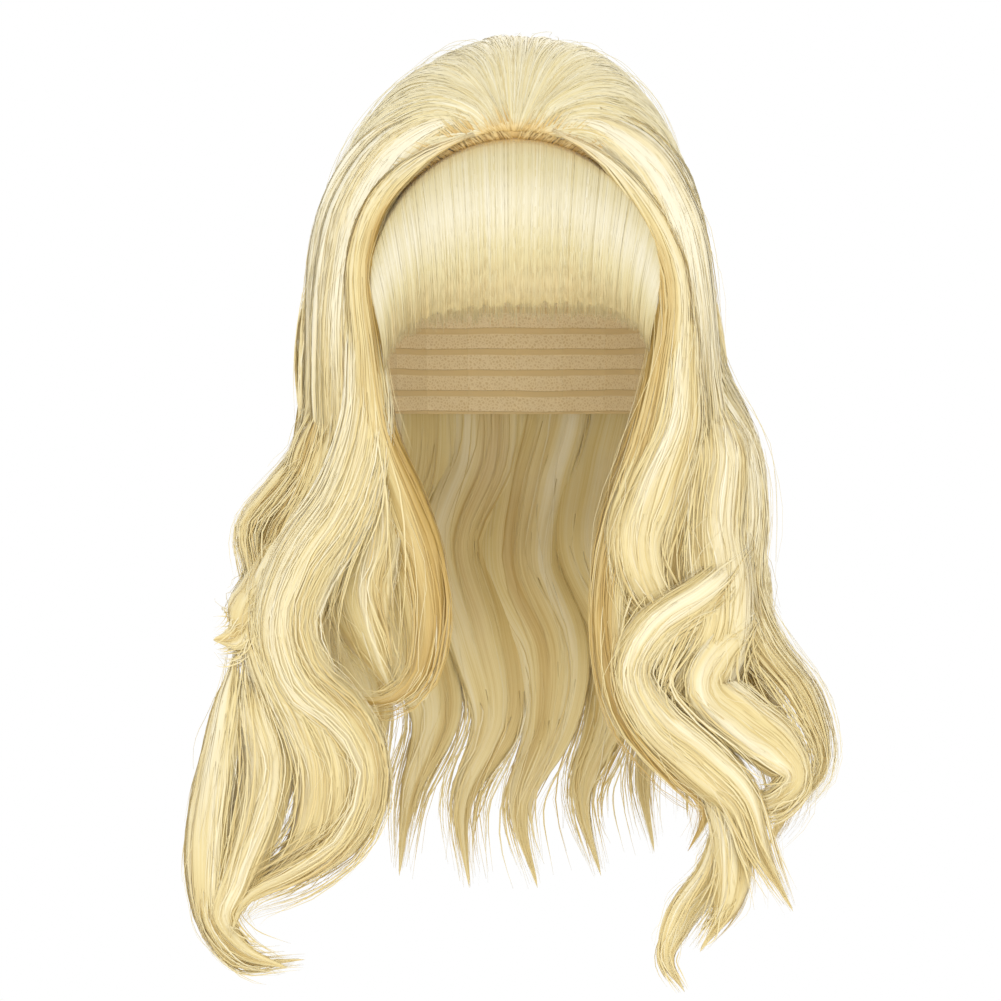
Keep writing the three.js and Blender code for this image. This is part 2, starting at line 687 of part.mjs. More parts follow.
// The bends of one lock of the back, which comes out of the mound and waves as it falls. Sweep runs
// from -1 to 1 across the back.
function backBends(sweep, index) {
  const angle = degrees(BACK_SWEEP) * sweep;
  const outward = new THREE.Vector3(Math.sin(angle), Math.cos(angle), 0);
  const sideways = new THREE.Vector3(Math.cos(angle), -Math.sin(angle), 0);
  const top = BACK_TOP_DROP + BACK_TOP_STAGGER * Math.cos(2.4 * index);
  const bottom = blendBetween(BACK_DROP, BACK_SIDE_DROP, sweep ** 2);
  const bends = [];
  for (let j = 0; j <= BACK_LOCK_BENDS; j += 1) {
    const along = j / BACK_LOCK_BENDS;
    const drop = blendBetween(top, bottom, along);
    const turn = (2 * Math.PI * (drop - BACK_TOP_DROP)) / BACK_WAVE_LENGTH + 0.5 * index;
    const grow = smoothBetween(along, 0, 0.4);
    const start = smoothBetween(along, 0, 0.3);
    const thick = BACK_LOCK_THICKNESS * blendBetween(0.3, 1, start) * (1 - 0.88 * along ** 3);
    const wide = BACK_LOCK_WIDTH * blendBetween(0.4, 1, start) * (1 - 0.88 * along ** 3);
    const wave = 0.5 * BACK_WAVE * grow * Math.sin(turn);
    const out = mound.reach(outward, -drop) + (0.5 - BACK_LOCK_SINK) * thick + BACK_SPREAD * along + wave;
    const place = outward.clone().multiplyScalar(out).add(mound.centre).setZ(-drop);
    place.addScaledVector(sideways, BACK_WAVE * grow * Math.cos(turn));
    bends.push({ place, wide, thick });
  }
  return bends;
}

function backFallSolid() {
  const locks = [];
  for (let i = 0; i < BACK_LOCKS; i += 1) {
    const bends = backBends((2 * i) / (BACK_LOCKS - 1) - 1, i);
    locks.push(lockSolid(bends, { infront: false }));
  }
  return wasm.Manifold.union(locks);
}

const cap = capSolid();
const crown = crownSolid();
const fringe = fringeSolid().subtract(headRoom()).subtract(crownSolid(GAP));
const inTheWay = wasm.Manifold.union([headRoom(), crownSolid(GAP), fringeSolid(GAP)]);
const leftFall = sideFallSolid(LEFT_LOCKS).subtract(inTheWay);
const rightFall = sideFallSolid(RIGHT_LOCKS)
  .subtract(inTheWay)
  .subtract(sideFallSolid(LEFT_LOCKS, GAP));
const sideFalls = wasm.Manifold.union([sideFallSolid(LEFT_LOCKS, GAP), sideFallSolid(RIGHT_LOCKS, GAP)]);
const backFall = backFallSolid().subtract(inTheWay).subtract(sideFalls);

const hairMaterial = (color) => new THREE.MeshStandardMaterial({ color, roughness: 0.42, metalness: 0 });
const netMaterial = new THREE.MeshStandardMaterial({ color: 0xd9bd8c, roughness: 0.85, metalness: 0 });

const pieces = {
  cap: [cap, netMaterial],
  crown: [crown, hairMaterial(0xe9dcb4)],
  fringe: [fringe, hairMaterial(0xe8d5a2)],
  left_fall: [leftFall, hairMaterial(0xe4cf96)],
  right_fall: [rightFall, hairMaterial(0xe4cf96)],
  back_fall: [backFall, hairMaterial(0xdec687)],
};

const wig = new THREE.Group();
for (const [name, [solid, material]] of Object.entries(pieces)) {
  const mesh = new THREE.Mesh(geometryFrom(mainBody(solid)), material);
  mesh.name = name;
  wig.add(mesh);
}

export default wig;
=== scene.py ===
"""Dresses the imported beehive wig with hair: locks and sheets with combed relief, and strands over them.

Lengths are in millimetres until a mesh is made. +Z is up, the front is at -Y, left (-X) and right are
those of the front as it is seen, and the origin is the top of the cap's hollow.
"""

import math

import bpy
import numpy as np
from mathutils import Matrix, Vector


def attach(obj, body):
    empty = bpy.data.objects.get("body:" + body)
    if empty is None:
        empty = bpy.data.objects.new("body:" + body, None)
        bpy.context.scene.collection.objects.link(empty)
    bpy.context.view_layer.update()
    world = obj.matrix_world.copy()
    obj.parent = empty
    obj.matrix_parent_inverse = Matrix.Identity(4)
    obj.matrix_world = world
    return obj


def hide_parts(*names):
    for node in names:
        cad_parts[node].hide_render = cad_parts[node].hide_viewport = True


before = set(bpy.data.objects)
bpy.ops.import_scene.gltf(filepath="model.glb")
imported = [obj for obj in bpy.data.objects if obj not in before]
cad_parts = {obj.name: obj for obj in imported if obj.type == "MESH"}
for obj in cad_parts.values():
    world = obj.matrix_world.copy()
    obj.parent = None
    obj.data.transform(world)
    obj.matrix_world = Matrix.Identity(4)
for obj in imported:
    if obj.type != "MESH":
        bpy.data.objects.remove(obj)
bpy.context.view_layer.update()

MM = 0.001

# Sizes, as the solids have them
HEAD_WIDTH, HEAD_DEPTH = 156, 196
HEAD_CROWN_HEIGHT, HEAD_TAPER_HEIGHT = 105, 230
CAP_WALL = 1.6
MOUND_HALF_WIDTH, MOUND_RISE, MOUND_LEVEL, MOUND_SETBACK = 100, 49, 84, 28
MOUND_REACH_FRONT, MOUND_REACH_BACK, MOUND_SKIRT_HEIGHT = 100, 96, 190
MOUND_HEM_DROP, MOUND_SHIFT, MOUND_TOP_LEAN = 138, -4, 8
HAIRLINE_FORWARD, HAIRLINE_TOP_DROP, HAIRLINE_HALF_WIDTH, HAIRLINE_HEIGHT = 52, 5, 80, 84
HAIRLINE_SWEEP = math.radians(80)
FRINGE_TIP_DROP, FRINGE_TIP_TILT, FRINGE_SIDE_TIP_DROP = 94, 5, 121
FRINGE_TIP_FORWARD, FRINGE_SIDE_TIP_FORWARD, FRINGE_SIDE_HALF_WIDTH = 104, 62, 70
FRINGE_ROOT_THICKNESS, FRINGE_TIP_THICKNESS, FRINGE_BULGE = 5, 2.2, 11
FALL_SPAN, FALL_DEPTH, FALL_DROP = 156, 100, 520
LOCK_WIDTH, LOCK_THICKNESS, LOCK_SINK = 42, 20, 0.1
BACK_LOCKS, BACK_SWEEP = 10, math.radians(80)
BACK_TOP_DROP, BACK_TOP_STAGGER, BACK_DROP, BACK_SIDE_DROP = 46, 12, 400, 335
BACK_SPREAD, BACK_WAVE, BACK_WAVE_LENGTH = 8, 11, 150
BACK_LOCK_WIDTH, BACK_LOCK_THICKNESS, BACK_LOCK_SINK, BACK_LOCK_BENDS = 52, 16, 0.25, 8

# A row for each bend of a lock from root to tip: side, depth and drop as shares of the fall's span,
# depth and drop, then width and thickness as shares of a lock's. The rows are the solids' rows, apart
# from the outer flick, which is hair of the scene alone, from the temple locks' thinner starts, and
# from 20 bends of 6 locks, which follow the outline more closely or let one lock pass in front of
# another: 16 of them lie 2 to 9 mm from the solids' bends, and 4 of them 12 to 21 mm.
LEFT_LOCKS = {
    "temple": [
        (-0.14, -0.58, 0.006, 0.12, 0.12), (-0.3, -0.6, 0.028, 0.28, 0.3), (-0.45, -0.6, 0.07, 0.34, 0.4),
        (-0.52, -0.56, 0.13, 0.42, 0.6), (-0.5, -0.54, 0.22, 0.5, 0.8), (-0.46, -0.52, 0.302, 0.6, 0.9),
        (-0.39, -0.54, 0.372, 0.7, 1), (-0.33, -0.6, 0.432, 0.75, 1), (-0.3, -0.66, 0.495, 0.7, 1),
        (-0.34, -0.72, 0.552, 0.55, 0.8), (-0.45, -0.74, 0.573, 0.4, 0.6), (-0.58, -0.7, 0.56, 0.12, 0.2),
    ],
    "top_sweep": [
        (-0.03, -0.5, 0.002, 0.12, 0.2), (-0.24, -0.47, -0.006, 0.4, 0.3), (-0.42, -0.42, 0.03, 0.8, 0.4),
        (-0.53, -0.4, 0.09, 1, 0.5), (-0.57, -0.36, 0.17, 1, 0.6), (-0.57, -0.34, 0.25, 1, 0.8),
        (-0.56, -0.36, 0.33, 1, 0.9), (-0.6, -0.42, 0.4, 1, 1), (-0.68, -0.5, 0.47, 0.9, 0.9),
        (-0.74, -0.58, 0.53, 0.5, 0.6),
    ],
    "outer_sweep": [
        (-0.28, -0.38, -0.02, 0.15, 0.2), (-0.44, -0.3, 0.004, 0.5, 0.3), (-0.56, -0.2, 0.055, 0.8, 0.4),
        (-0.61, -0.12, 0.105, 0.9, 0.5), (-0.62, -0.08, 0.16, 1, 0.5), (-0.63, -0.04, 0.23, 1, 0.6),
        (-0.64, -0.04, 0.29, 1, 0.7), (-0.71, -0.1, 0.335, 0.8, 0.8), (-0.8, -0.18, 0.365, 0.65, 0.8),
        (-0.9, -0.26, 0.402, 0.5, 0.7), (-0.88, -0.32, 0.445, 0.45, 0.6), (-0.87, -0.36, 0.49, 0.2, 0.3),
    ],
    "outer_flick": [
        (-0.74, -0.44, 0.4, 0.6, 0.6), (-0.8, -0.46, 0.445, 0.9, 0.8), (-0.86, -0.48, 0.482, 1, 0.8),
        (-0.93, -0.48, 0.508, 0.8, 0.5), (-1.01, -0.46, 0.512, 0.2, 0.15),
    ],
    "front_wave": [
        (-0.53, -0.46, 0.09, 0.3, 0.4), (-0.5, -0.5, 0.2, 0.5, 0.7), (-0.5, -0.52, 0.29, 0.7, 0.9),
        (-0.58, -0.56, 0.375, 0.9, 1), (-0.7, -0.6, 0.43, 1, 1), (-0.77, -0.66, 0.5, 1, 1),
        (-0.7, -0.74, 0.567, 1, 1), (-0.57, -0.82, 0.6, 0.85, 1), (-0.49, -0.88, 0.645, 0.6, 1),
        (-0.56, -0.92, 0.705, 0.7, 1), (-0.72, -0.94, 0.74, 0.75, 0.9), (-0.9, -0.94, 0.77, 0.5, 0.6),
        (-0.95, -0.92, 0.81, 0.1, 0.2),
    ],
    "mid_wave": [
        (-0.48, -0.42, 0.25, 0.6, 0.8), (-0.47, -0.46, 0.34, 0.8, 1), (-0.5, -0.52, 0.41, 1, 1),
        (-0.53, -0.58, 0.465, 1, 1), (-0.48, -0.66, 0.52, 0.9, 1), (-0.42, -0.7, 0.56, 0.4, 0.5),
    ],
    "shadow_wave": [
        (-0.62, -0.2, 0.25, 0.9, 1), (-0.66, -0.24, 0.34, 1, 1.1), (-0.76, -0.32, 0.41, 1, 1.2),
        (-0.82, -0.42, 0.48, 1, 1.1), (-0.8, -0.52, 0.54, 1, 1.1), (-0.72, -0.64, 0.6, 0.9, 1),
        (-0.64, -0.72, 0.66, 0.6, 0.7),
    ],
    "inner_wave": [
        (-0.84, -0.44, 0.43, 0.4, 0.6), (-0.84, -0.54, 0.5, 0.7, 0.9), (-0.78, -0.66, 0.55, 0.9, 0.9),
        (-0.7, -0.74, 0.6, 0.9, 0.9), (-0.64, -0.8, 0.65, 0.9, 1), (-0.66, -0.84, 0.697, 0.9, 1),
        (-0.76, -0.86, 0.735, 0.8, 0.9), (-0.9, -0.86, 0.76, 0.4, 0.5),
    ],
    "low_curl": [
        (-0.9, -0.46, 0.53, 0.4, 0.6), (-0.87, -0.58, 0.59, 0.7, 0.8), (-0.84, -0.68, 0.64, 0.9, 0.8),
        (-0.88, -0.76, 0.695, 1, 0.8), (-0.94, -0.82, 0.745, 0.9, 0.8), (-0.98, -0.84, 0.79, 0.7, 0.7),
        (-0.9, -0.86, 0.822, 0.5, 0.5), (-0.76, -0.86, 0.838, 0.15, 0.2),
    ],
    "edge_strand": [
        (-0.93, -0.44, 0.52, 0.3, 0.4), (-0.97, -0.54, 0.59, 0.6, 0.4), (-1.01, -0.66, 0.66, 0.75, 0.4),
        (-1.03, -0.74, 0.73, 0.75, 0.4), (-1.01, -0.8, 0.79, 0.5, 0.4), (-0.92, -0.82, 0.83, 0.3, 0.4),
        (-0.7, -0.82, 0.83, 0.08, 0.15),
    ],
    "rear_wave": [
        (-0.59, 0.12, 0.07, 0.4, 0.25), (-0.62, 0.16, 0.2, 1, 0.6), (-0.62, 0.16, 0.29, 1.1, 0.9),
        (-0.68, 0.1, 0.37, 1.1, 1), (-0.77, 0, 0.45, 1.1, 1.1), (-0.8, -0.12, 0.53, 1, 1),
        (-0.76, -0.24, 0.6, 0.9, 0.9), (-0.8, -0.34, 0.67, 0.7, 0.8), (-0.9, -0.42, 0.72, 0.2, 0.3),
    ],
}
RIGHT_LOCKS = {
    "temple": [
        (0.12, -0.6, 0.002, 0.12, 0.12), (0.29, -0.6, 0.03, 0.3, 0.3), (0.43, -0.58, 0.08, 0.45, 0.4),
        (0.52, -0.54, 0.15, 0.6, 0.7), (0.51, -0.52, 0.235, 0.7, 0.9), (0.45, -0.52, 0.32, 0.7, 1),
        (0.37, -0.56, 0.385, 0.6, 1), (0.32, -0.64, 0.45, 0.5, 0.9), (0.32, -0.7, 0.52, 0.5, 0.9),
        (0.39, -0.78, 0.59, 0.6, 0.9), (0.53, -0.86, 0.643, 0.6, 0.8), (0.63, -0.9, 0.68, 0.4, 0.6),
        (0.57, -0.92, 0.722, 0.1, 0.2),
    ],
    "top_sweep": [
        (0.03, -0.5, 0.002, 0.12, 0.2), (0.24, -0.47, -0.006, 0.4, 0.3), (0.43, -0.42, 0.03, 0.8, 0.4),
        (0.54, -0.4, 0.09, 1, 0.5), (0.59, -0.36, 0.17, 1, 0.6), (0.6, -0.34, 0.25, 1, 0.8),
        (0.6, -0.36, 0.33, 1, 1), (0.56, -0.44, 0.395, 1, 1), (0.53, -0.54, 0.45, 1, 1),
        (0.6, -0.62, 0.5, 0.9, 0.9), (0.7, -0.66, 0.53, 0.4, 0.5),
    ],
    "outer_sweep": [
        (0.28, -0.38, -0.02, 0.15, 0.2), (0.43, -0.3, 0.004, 0.5, 0.3), (0.54, -0.2, 0.055, 0.8, 0.4),
        (0.59, -0.12, 0.105, 0.9, 0.5), (0.61, -0.08, 0.17, 1, 0.6), (0.65, -0.04, 0.25, 1, 0.7),
        (0.75, -0.06, 0.32, 0.9, 0.8), (0.77, -0.12, 0.39, 0.9, 0.9), (0.745, -0.22, 0.46, 0.9, 1),
        (0.83, -0.34, 0.522, 1, 0.9), (0.965, -0.48, 0.57, 0.8, 0.7), (1.02, -0.58, 0.64, 0.4, 0.6),
        (0.9, -0.66, 0.685, 0.1, 0.2),
    ],
    "front_wave": [
        (0.56, -0.46, 0.14, 0.4, 0.6), (0.55, -0.48, 0.23, 0.6, 0.9), (0.53, -0.5, 0.3, 0.8, 1),
        (0.45, -0.56, 0.365, 0.9, 1), (0.4, -0.64, 0.415, 0.8, 1), (0.45, -0.66, 0.462, 0.8, 1),
        (0.56, -0.6, 0.495, 0.6, 0.7), (0.64, -0.52, 0.51, 0.3, 0.3),
    ],
    "mid_wave": [
        (0.66, -0.24, 0.26, 0.9, 0.9), (0.68, -0.3, 0.33, 1, 1.1), (0.66, -0.38, 0.4, 1, 1.1),
        (0.68, -0.48, 0.46, 1, 1.1), (0.66, -0.6, 0.52, 1, 1), (0.56, -0.7, 0.57, 0.9, 0.9),
        (0.46, -0.76, 0.61, 0.4, 0.5),
    ],
    "loop": [
        (0.78, -0.34, 0.42, 0.5, 0.7), (0.62, -0.64, 0.472, 0.65, 0.8), (0.46, -0.76, 0.505, 0.65, 0.9),
        (0.39, -0.76, 0.545, 0.6, 0.9), (0.46, -0.82, 0.59, 0.7, 1), (0.61, -0.88, 0.63, 0.75, 1),
        (0.74, -0.9, 0.67, 0.7, 0.9), (0.81, -0.9, 0.72, 0.55, 0.7), (0.92, -0.88, 0.782, 0.1, 0.2),
    ],
    "outer_loop": [
        (0.8, -0.44, 0.49, 0.5, 0.7), (0.68, -0.64, 0.53, 0.6, 0.7), (0.64, -0.72, 0.56, 0.7, 0.8),
        (0.74, -0.76, 0.59, 0.8, 0.9), (0.86, -0.78, 0.62, 0.8, 0.9), (0.92, -0.8, 0.65, 0.6, 0.7),
        (0.84, -0.82, 0.675, 0.5, 0.6), (0.72, -0.84, 0.675, 0.2, 0.3),
    ],
    "low_tail": [
        (0.6, -0.78, 0.61, 0.5, 0.7), (0.68, -0.84, 0.66, 0.6, 0.8), (0.72, -0.88, 0.72, 0.6, 0.7),
        (0.7, -0.9, 0.775, 0.45, 0.6), (0.61, -0.9, 0.822, 0.1, 0.2),
    ],
    "low_wisp": [
        (0.72, -0.78, 0.68, 0.5, 0.6), (0.66, -0.82, 0.74, 0.5, 0.6), (0.54, -0.82, 0.79, 0.4, 0.5),
        (0.5, -0.82, 0.83, 0.25, 0.3), (0.56, -0.82, 0.862, 0.08, 0.15),
    ],
    "rear_wave": [
        (0.57, 0.12, 0.07, 0.4, 0.25), (0.6, 0.16, 0.2, 1, 0.6), (0.62, 0.16, 0.29, 1.1, 0.9),
        (0.67, 0.1, 0.37, 1.1, 1), (0.76, 0, 0.45, 1.1, 1.1), (0.76, -0.12, 0.53, 1, 1),
        (0.84, -0.26, 0.6, 1, 0.9), (0.9, -0.38, 0.67, 0.8, 0.8), (0.84, -0.46, 0.72, 0.2, 0.3),
    ],
}

# Numbers that shape the hair
SIDE_PRESS, FRONT_PRESS = 0.36, 0.6  # loose hair lies flatter on the mound than the solids' sweeps do
PRESS_FROM, PRESS_TO = MOUND_HEM_DROP - 18, MOUND_HEM_DROP + 32  # drops where it gets its full thickness
STRAND_WIDTH = 0.85  # a combed wisp of fibres: single ones, 0.08 mm, are finer than the picture shows
STRAND_THICKNESS = 0.17
LOOSE_WIDTH = 0.3  # a stray hair, drawn coarser than it is so that it shows
STRAND_STEPS = 13
LOCK_STEPS, LOCK_AROUND = 64, 36
TONE_SPREAD = 0.09  # how far the tone of one strand strays from the next, on the scale from deep to pale
SEED = 61
CROWN_SEAT = 0.6  # from the cap's outside to the crown's inside
CROWN_UV_HALF_WIDTH, CROWN_UV_LENGTH, FRINGE_UV_HALF_WIDTH, FRINGE_UV_LENGTH = 230, 330, 95, 120
TIP_STEPS, ROOT_STEPS, RIDGE_STEPS, FRINGE_STEPS = 10, 9, 6, 11
NET_MESHES = 620.0  # in a metre, so 1.6 mm each
WEFT_SCALE = 28.6  # rows 2 pi / (20 x 28.6) m apart, which is 11 mm

# How many strands each part has, and their tones, on the scale from deep (0) to pale (1)
CROWN_STRANDS, ROOT_STRANDS, RIDGE_STRANDS, LOOSE_CROWN_HAIRS, FRINGE_STRANDS = 1700, 240, 500, 120, 1350
LOCK_COVER = 0.0175  # strands to each square millimetre of a lock's length times its width
TIP_STRANDS, OUTER_TIP_STRANDS, LOOSE_HAIRS, BRIDGE_STRANDS = 34, 70, 12, 38
BACK_STRANDS, BACK_TIP_STRANDS, BACK_LOOSE_HAIRS, BACK_BRIDGE_STRANDS, CURTAIN_STRANDS = 95, 50, 10, 26, 90
LOCK_TONE, TIP_TONE, BRIDGE_TONE, LOOSE_TONE, LOOSE_CROWN_TONE = 0.54, 0.56, 0.5, 0.62, 0.66
BACK_TOP_TONE, BACK_TONE, BACK_TIP_TONE, CURTAIN_TONE = 0.52, 0.46, 0.5, 0.62
# Painted shade: locks that lie deeper, behind others or next to the opening get darker, more golden tones.
SHADED_LOCK_TONES = {"shadow_wave": 0.35, "temple": 0.42, "rear_wave": 0.42, "inner_wave": 0.5}  # the golden locks
# Painted shade: how much more golden a temple lock's inner side, next to the opening, is made.
INNER_SHADE = {"left": 0.42, "right": 0.34}  # how much more golden a temple lock's inner side is


# Small helpers
def unit(v):
    """Vectors scaled to length one."""
    return v / np.maximum(np.linalg.norm(v, axis=-1, keepdims=True), 1e-9)


def ease(x, low, high):
    """Rises from 0 at low to 1 at high as 3t^2 - 2t^3."""
    t = np.clip((x - low) / (high - low), 0, 1)
    return t * t * (3 - 2 * t)


def mix(a, b, t):
    """The blend (1 - t) a + t b."""
    return a * (1 - t) + b * t


def shares(steps):
    """Shares of the way along a strand, from 0 to 1, as a row."""
    return np.linspace(0, 1, steps)[None, :]


def draw(rng, count, low, high):
    """An even random number from low to high for each strand, as a column."""
    return rng.uniform(low, high, count)[:, None]


def stray(rng, count, spread):
    """A normal random number for each strand, as a column."""
    return rng.normal(0, spread, count)[:, None]


class RoundedBody:
    """A rounded body: its outline from above is |x/a|^p + |y/b|^p and its profile adds |z/c|^r."""

    def __init__(self, centre, width, front, back, up, down, plan, rise, lean=0.0):
        self.centre = np.array(centre, float)
        self.width, self.front, self.back, self.up, self.down = width, front, back, up, down
        self.plan, self.rise, self.lean = plan, rise, lean

    def grown(self, extra):
        """The same body with its half sizes larger by a length."""
        sizes = [s + extra for s in (self.width, self.front, self.back, self.up, self.down)]
        return RoundedBody(self.centre, *sizes, self.plan, self.rise, self.lean)

    def half_sizes(self, d):
        """Depth and height that hold on a direction's side: front or back, above or below."""
        return np.where(d[..., 1] < 0, self.front, self.back), np.where(d[..., 2] < 0, self.down, self.up)

    def outline(self, d):
        """|x/a|^p + |y/b|^p of a direction."""
        deep, _ = self.half_sizes(d)
        return np.abs(d[..., 0] / self.width) ** self.plan + np.abs(d[..., 1] / deep) ** self.plan

    def level(self, d):
        """How far a direction lies out of the unit surface: ((|x/a|^p + |y/b|^p)^(r/p) + |z/c|^r)^(1/r)."""
        _, tall = self.half_sizes(d)
        around = self.outline(d) ** (self.rise / self.plan)
        return (around + np.abs(d[..., 2] / tall) ** self.rise) ** (1 / self.rise)

    def surface(self, d):
        """The point of the surface in a direction, with the top leaning by the square of its height."""
        p = d / self.level(d)[..., None]
        p[..., 0] += self.lean * (np.maximum(p[..., 2], 0) / self.up) ** 2
        return p + self.centre

    def pushed_out(self, p):
        """A point inside the body moved out along its direction to the surface."""
        d = p - self.centre
        d[..., 0] -= self.lean * (np.maximum(d[..., 2], 0) / self.up) ** 2
        inside = self.level(d) < 1
        return np.where(inside[..., None], self.surface(d), p)

    def outward(self, p):
        """The way out of the body at a point: (x/a^2, y/b^2, z/c^2) made unit length."""
        d = p - self.centre
        deep, tall = self.half_sizes(d)
        sizes = np.stack([np.full_like(deep, self.width, dtype=float), deep, tall], -1)
        return unit(d / sizes**2)

    def reach(self, d, height):
        """How far the surface is from the upright middle line in a level direction at a height."""
        above = np.maximum(height - self.centre[2], 0) / self.up
        return (1 - np.minimum(above, 1) ** self.rise) ** (1 / self.rise) / self.outline(d) ** (1 / self.plan)


hollow = RoundedBody(
    (0, 0, -HEAD_CROWN_HEIGHT), HEAD_WIDTH / 2, HEAD_DEPTH / 2, HEAD_DEPTH / 2,
    HEAD_CROWN_HEIGHT, HEAD_TAPER_HEIGHT, 2.2, 2,
)
mound = RoundedBody(
    (MOUND_SHIFT, MOUND_SETBACK, -MOUND_LEVEL), MOUND_HALF_WIDTH, MOUND_REACH_FRONT, MOUND_REACH_BACK,
    MOUND_LEVEL + MOUND_RISE, MOUND_SKIRT_HEIGHT, 2.5, 2.1, MOUND_TOP_LEAN,
)


def smooth_path(knots, t):
    """Centripetal Catmull-Rom curve through the knots, at shares t of the way counted in knots."""
    ends = np.concatenate([[2 * knots[0] - knots[1]], knots, [2 * knots[-1] - knots[-2]]])
    step = t * (len(knots) - 1)
    i = np.minimum(step.astype(int), len(knots) - 2)
    u = (step - i)[:, None]
    a, b, c, d = (ends[i + k] for k in range(4))
    gap = lambda p, q: np.maximum(np.linalg.norm(q - p, axis=-1, keepdims=True), 1e-6) ** 0.5
    ab, bc, cd = gap(a, b), gap(b, c), gap(c, d)
    leave = ((b - a) / ab - (c - a) / (ab + bc) + (c - b) / bc) * bc
    arrive = ((c - b) / bc - (d - b) / (bc + cd) + (d - c) / cd) * bc
    u2, u3 = u * u, u * u * u
    return (2 * u3 - 3 * u2 + 1) * b + (u3 - 2 * u2 + u) * leave + (3 * u2 - 2 * u3) * c + (u3 - u2) * arrive


class Way:
    """The middle line of a lock with its sideways and outward directions, width, thickness and length."""

    def __init__(self, knots, wide, thick, infront):
        raw = smooth_path(knots, np.linspace(0, 1, 8 * LOCK_STEPS))
        far = np.concatenate([[0], np.cumsum(np.linalg.norm(np.diff(raw, axis=0), axis=1))])
        self.length = np.linspace(0, far[-1], LOCK_STEPS)
        knot_share = np.interp(self.length, far, np.linspace(0, 1, len(raw)))
        self.place = np.stack([np.interp(self.length, far, raw[:, k]) for k in range(3)], -1)
        tangent = unit(np.gradient(self.place, axis=0))
        at = np.linspace(0, 1, len(wide))
        self.wide = np.interp(knot_share, at, wide)
        self.thick = np.interp(knot_share, at, thick)
        level = self.place.copy()
        level[:, 2] = np.maximum(level[:, 2], mound.centre[2])
        out = mound.outward(level)
        if infront:
            forward = self.place * (1, 1, 0) - (0, 0.6 * FALL_DEPTH, 0)
            below = ease(-self.place[:, 2], MOUND_LEVEL, MOUND_HEM_DROP * 1.2)[:, None]
            out = unit(mix(out, unit(forward), below))
        self.out = unit(out - tangent * (out * tangent).sum(-1, keepdims=True))
        self.across = np.cross(self.out, tangent)

    def along(self, share, values):
        """Rows of values, one a step of the way, at shares of its length (strand, step)."""
        t = share * (LOCK_STEPS - 1)
        return np.stack([np.interp(t, np.arange(LOCK_STEPS), column) for column in values.T], -1)

    def at(self, share, sideways, outward):
        """Points at shares of the length, moved sideways and outward in half sizes, and their way out."""
        half = self.along(share, np.stack([self.wide, self.thick], -1)) / 2
        across, out = self.along(share, self.across), self.along(share, self.out)
        sideways, outward = sideways[..., None], outward[..., None]
        offset = across * half[..., :1] * sideways + out * half[..., 1:] * outward
        return self.along(share, self.place) + offset, unit(out * outward + across * sideways * 0.5)

    def around(self, share, facing, away):
        """Points on the oval at an angle, times away, and their way out."""
        return self.at(share, np.cos(facing) * away, np.sin(facing) * away)

    def drops(self):
        """The drop at each step, made to grow all the way so that a drop can be looked up."""
        return np.maximum.accumulate(-self.place[:, 2]) + 1e-3 * np.arange(LOCK_STEPS)

    def share_at(self, drop):
        """The share of the length where the way is at a drop."""
        return np.interp(drop, self.drops(), np.linspace(0, 1, LOCK_STEPS))


def lock_way(rows):
    """A table's rows as a way; a bend that would lie in the mound lies on it."""
    table = np.array(rows, float)
    places = table[:, :3] * (FALL_SPAN, FALL_DEPTH, -FALL_DROP)
    wide, thick = table[:, 3] * LOCK_WIDTH, table[:, 4] * LOCK_THICKNESS
    press = mix(SIDE_PRESS, FRONT_PRESS, ease(-table[:, 1], 0.2, 0.45))
    thick = thick * mix(press, 1, ease(-places[:, 2], PRESS_FROM, PRESS_TO))
    places = np.array([mound.grown(h * (0.5 - LOCK_SINK)).pushed_out(p) for p, h in zip(places, thick)])
    return Way(places, wide, thick, infront=True)


def back_way(index):
    """A lock of the back: down the mound at its own bearing, then waving as a sine of the drop."""
    sweep = 2 * index / (BACK_LOCKS - 1) - 1
    bearing = BACK_SWEEP * sweep
    outward = np.array([math.sin(bearing), math.cos(bearing), 0])
    sideways = np.array([math.cos(bearing), -math.sin(bearing), 0])
    along = np.linspace(0, 1, BACK_LOCK_BENDS + 1)
    top = BACK_TOP_DROP + BACK_TOP_STAGGER * math.cos(2.4 * index)
    drop = mix(top, mix(BACK_DROP, BACK_SIDE_DROP, sweep**2), along)
    turn = 2 * math.pi * (drop - BACK_TOP_DROP) / BACK_WAVE_LENGTH + 0.5 * index
    wave = BACK_WAVE * ease(along, 0, 0.4)
    taper = 1 - 0.88 * along**3
    thick = BACK_LOCK_THICKNESS * mix(0.05, 1, ease(along, 0.02, 0.42)) * taper
    wide = BACK_LOCK_WIDTH * mix(0.6, 1, ease(along, 0, 0.3)) * taper
    out = mound.reach(outward, -drop) + (0.5 - BACK_LOCK_SINK) * thick + BACK_SPREAD * along
    out += 0.5 * wave * np.sin(turn)
    places = outward * out[:, None] + mound.centre * (1, 1, 0) - np.outer(drop, (0, 0, 1))
    places += sideways * (wave * np.cos(turn))[:, None]
    return Way(places, wide, thick, infront=False)


# Meshes from arrays
def placed(name, data):
    """A new object of some data, put in the scene as it is."""
    made = bpy.data.objects.new(name, data)
    bpy.context.scene.collection.objects.link(made)
    return made


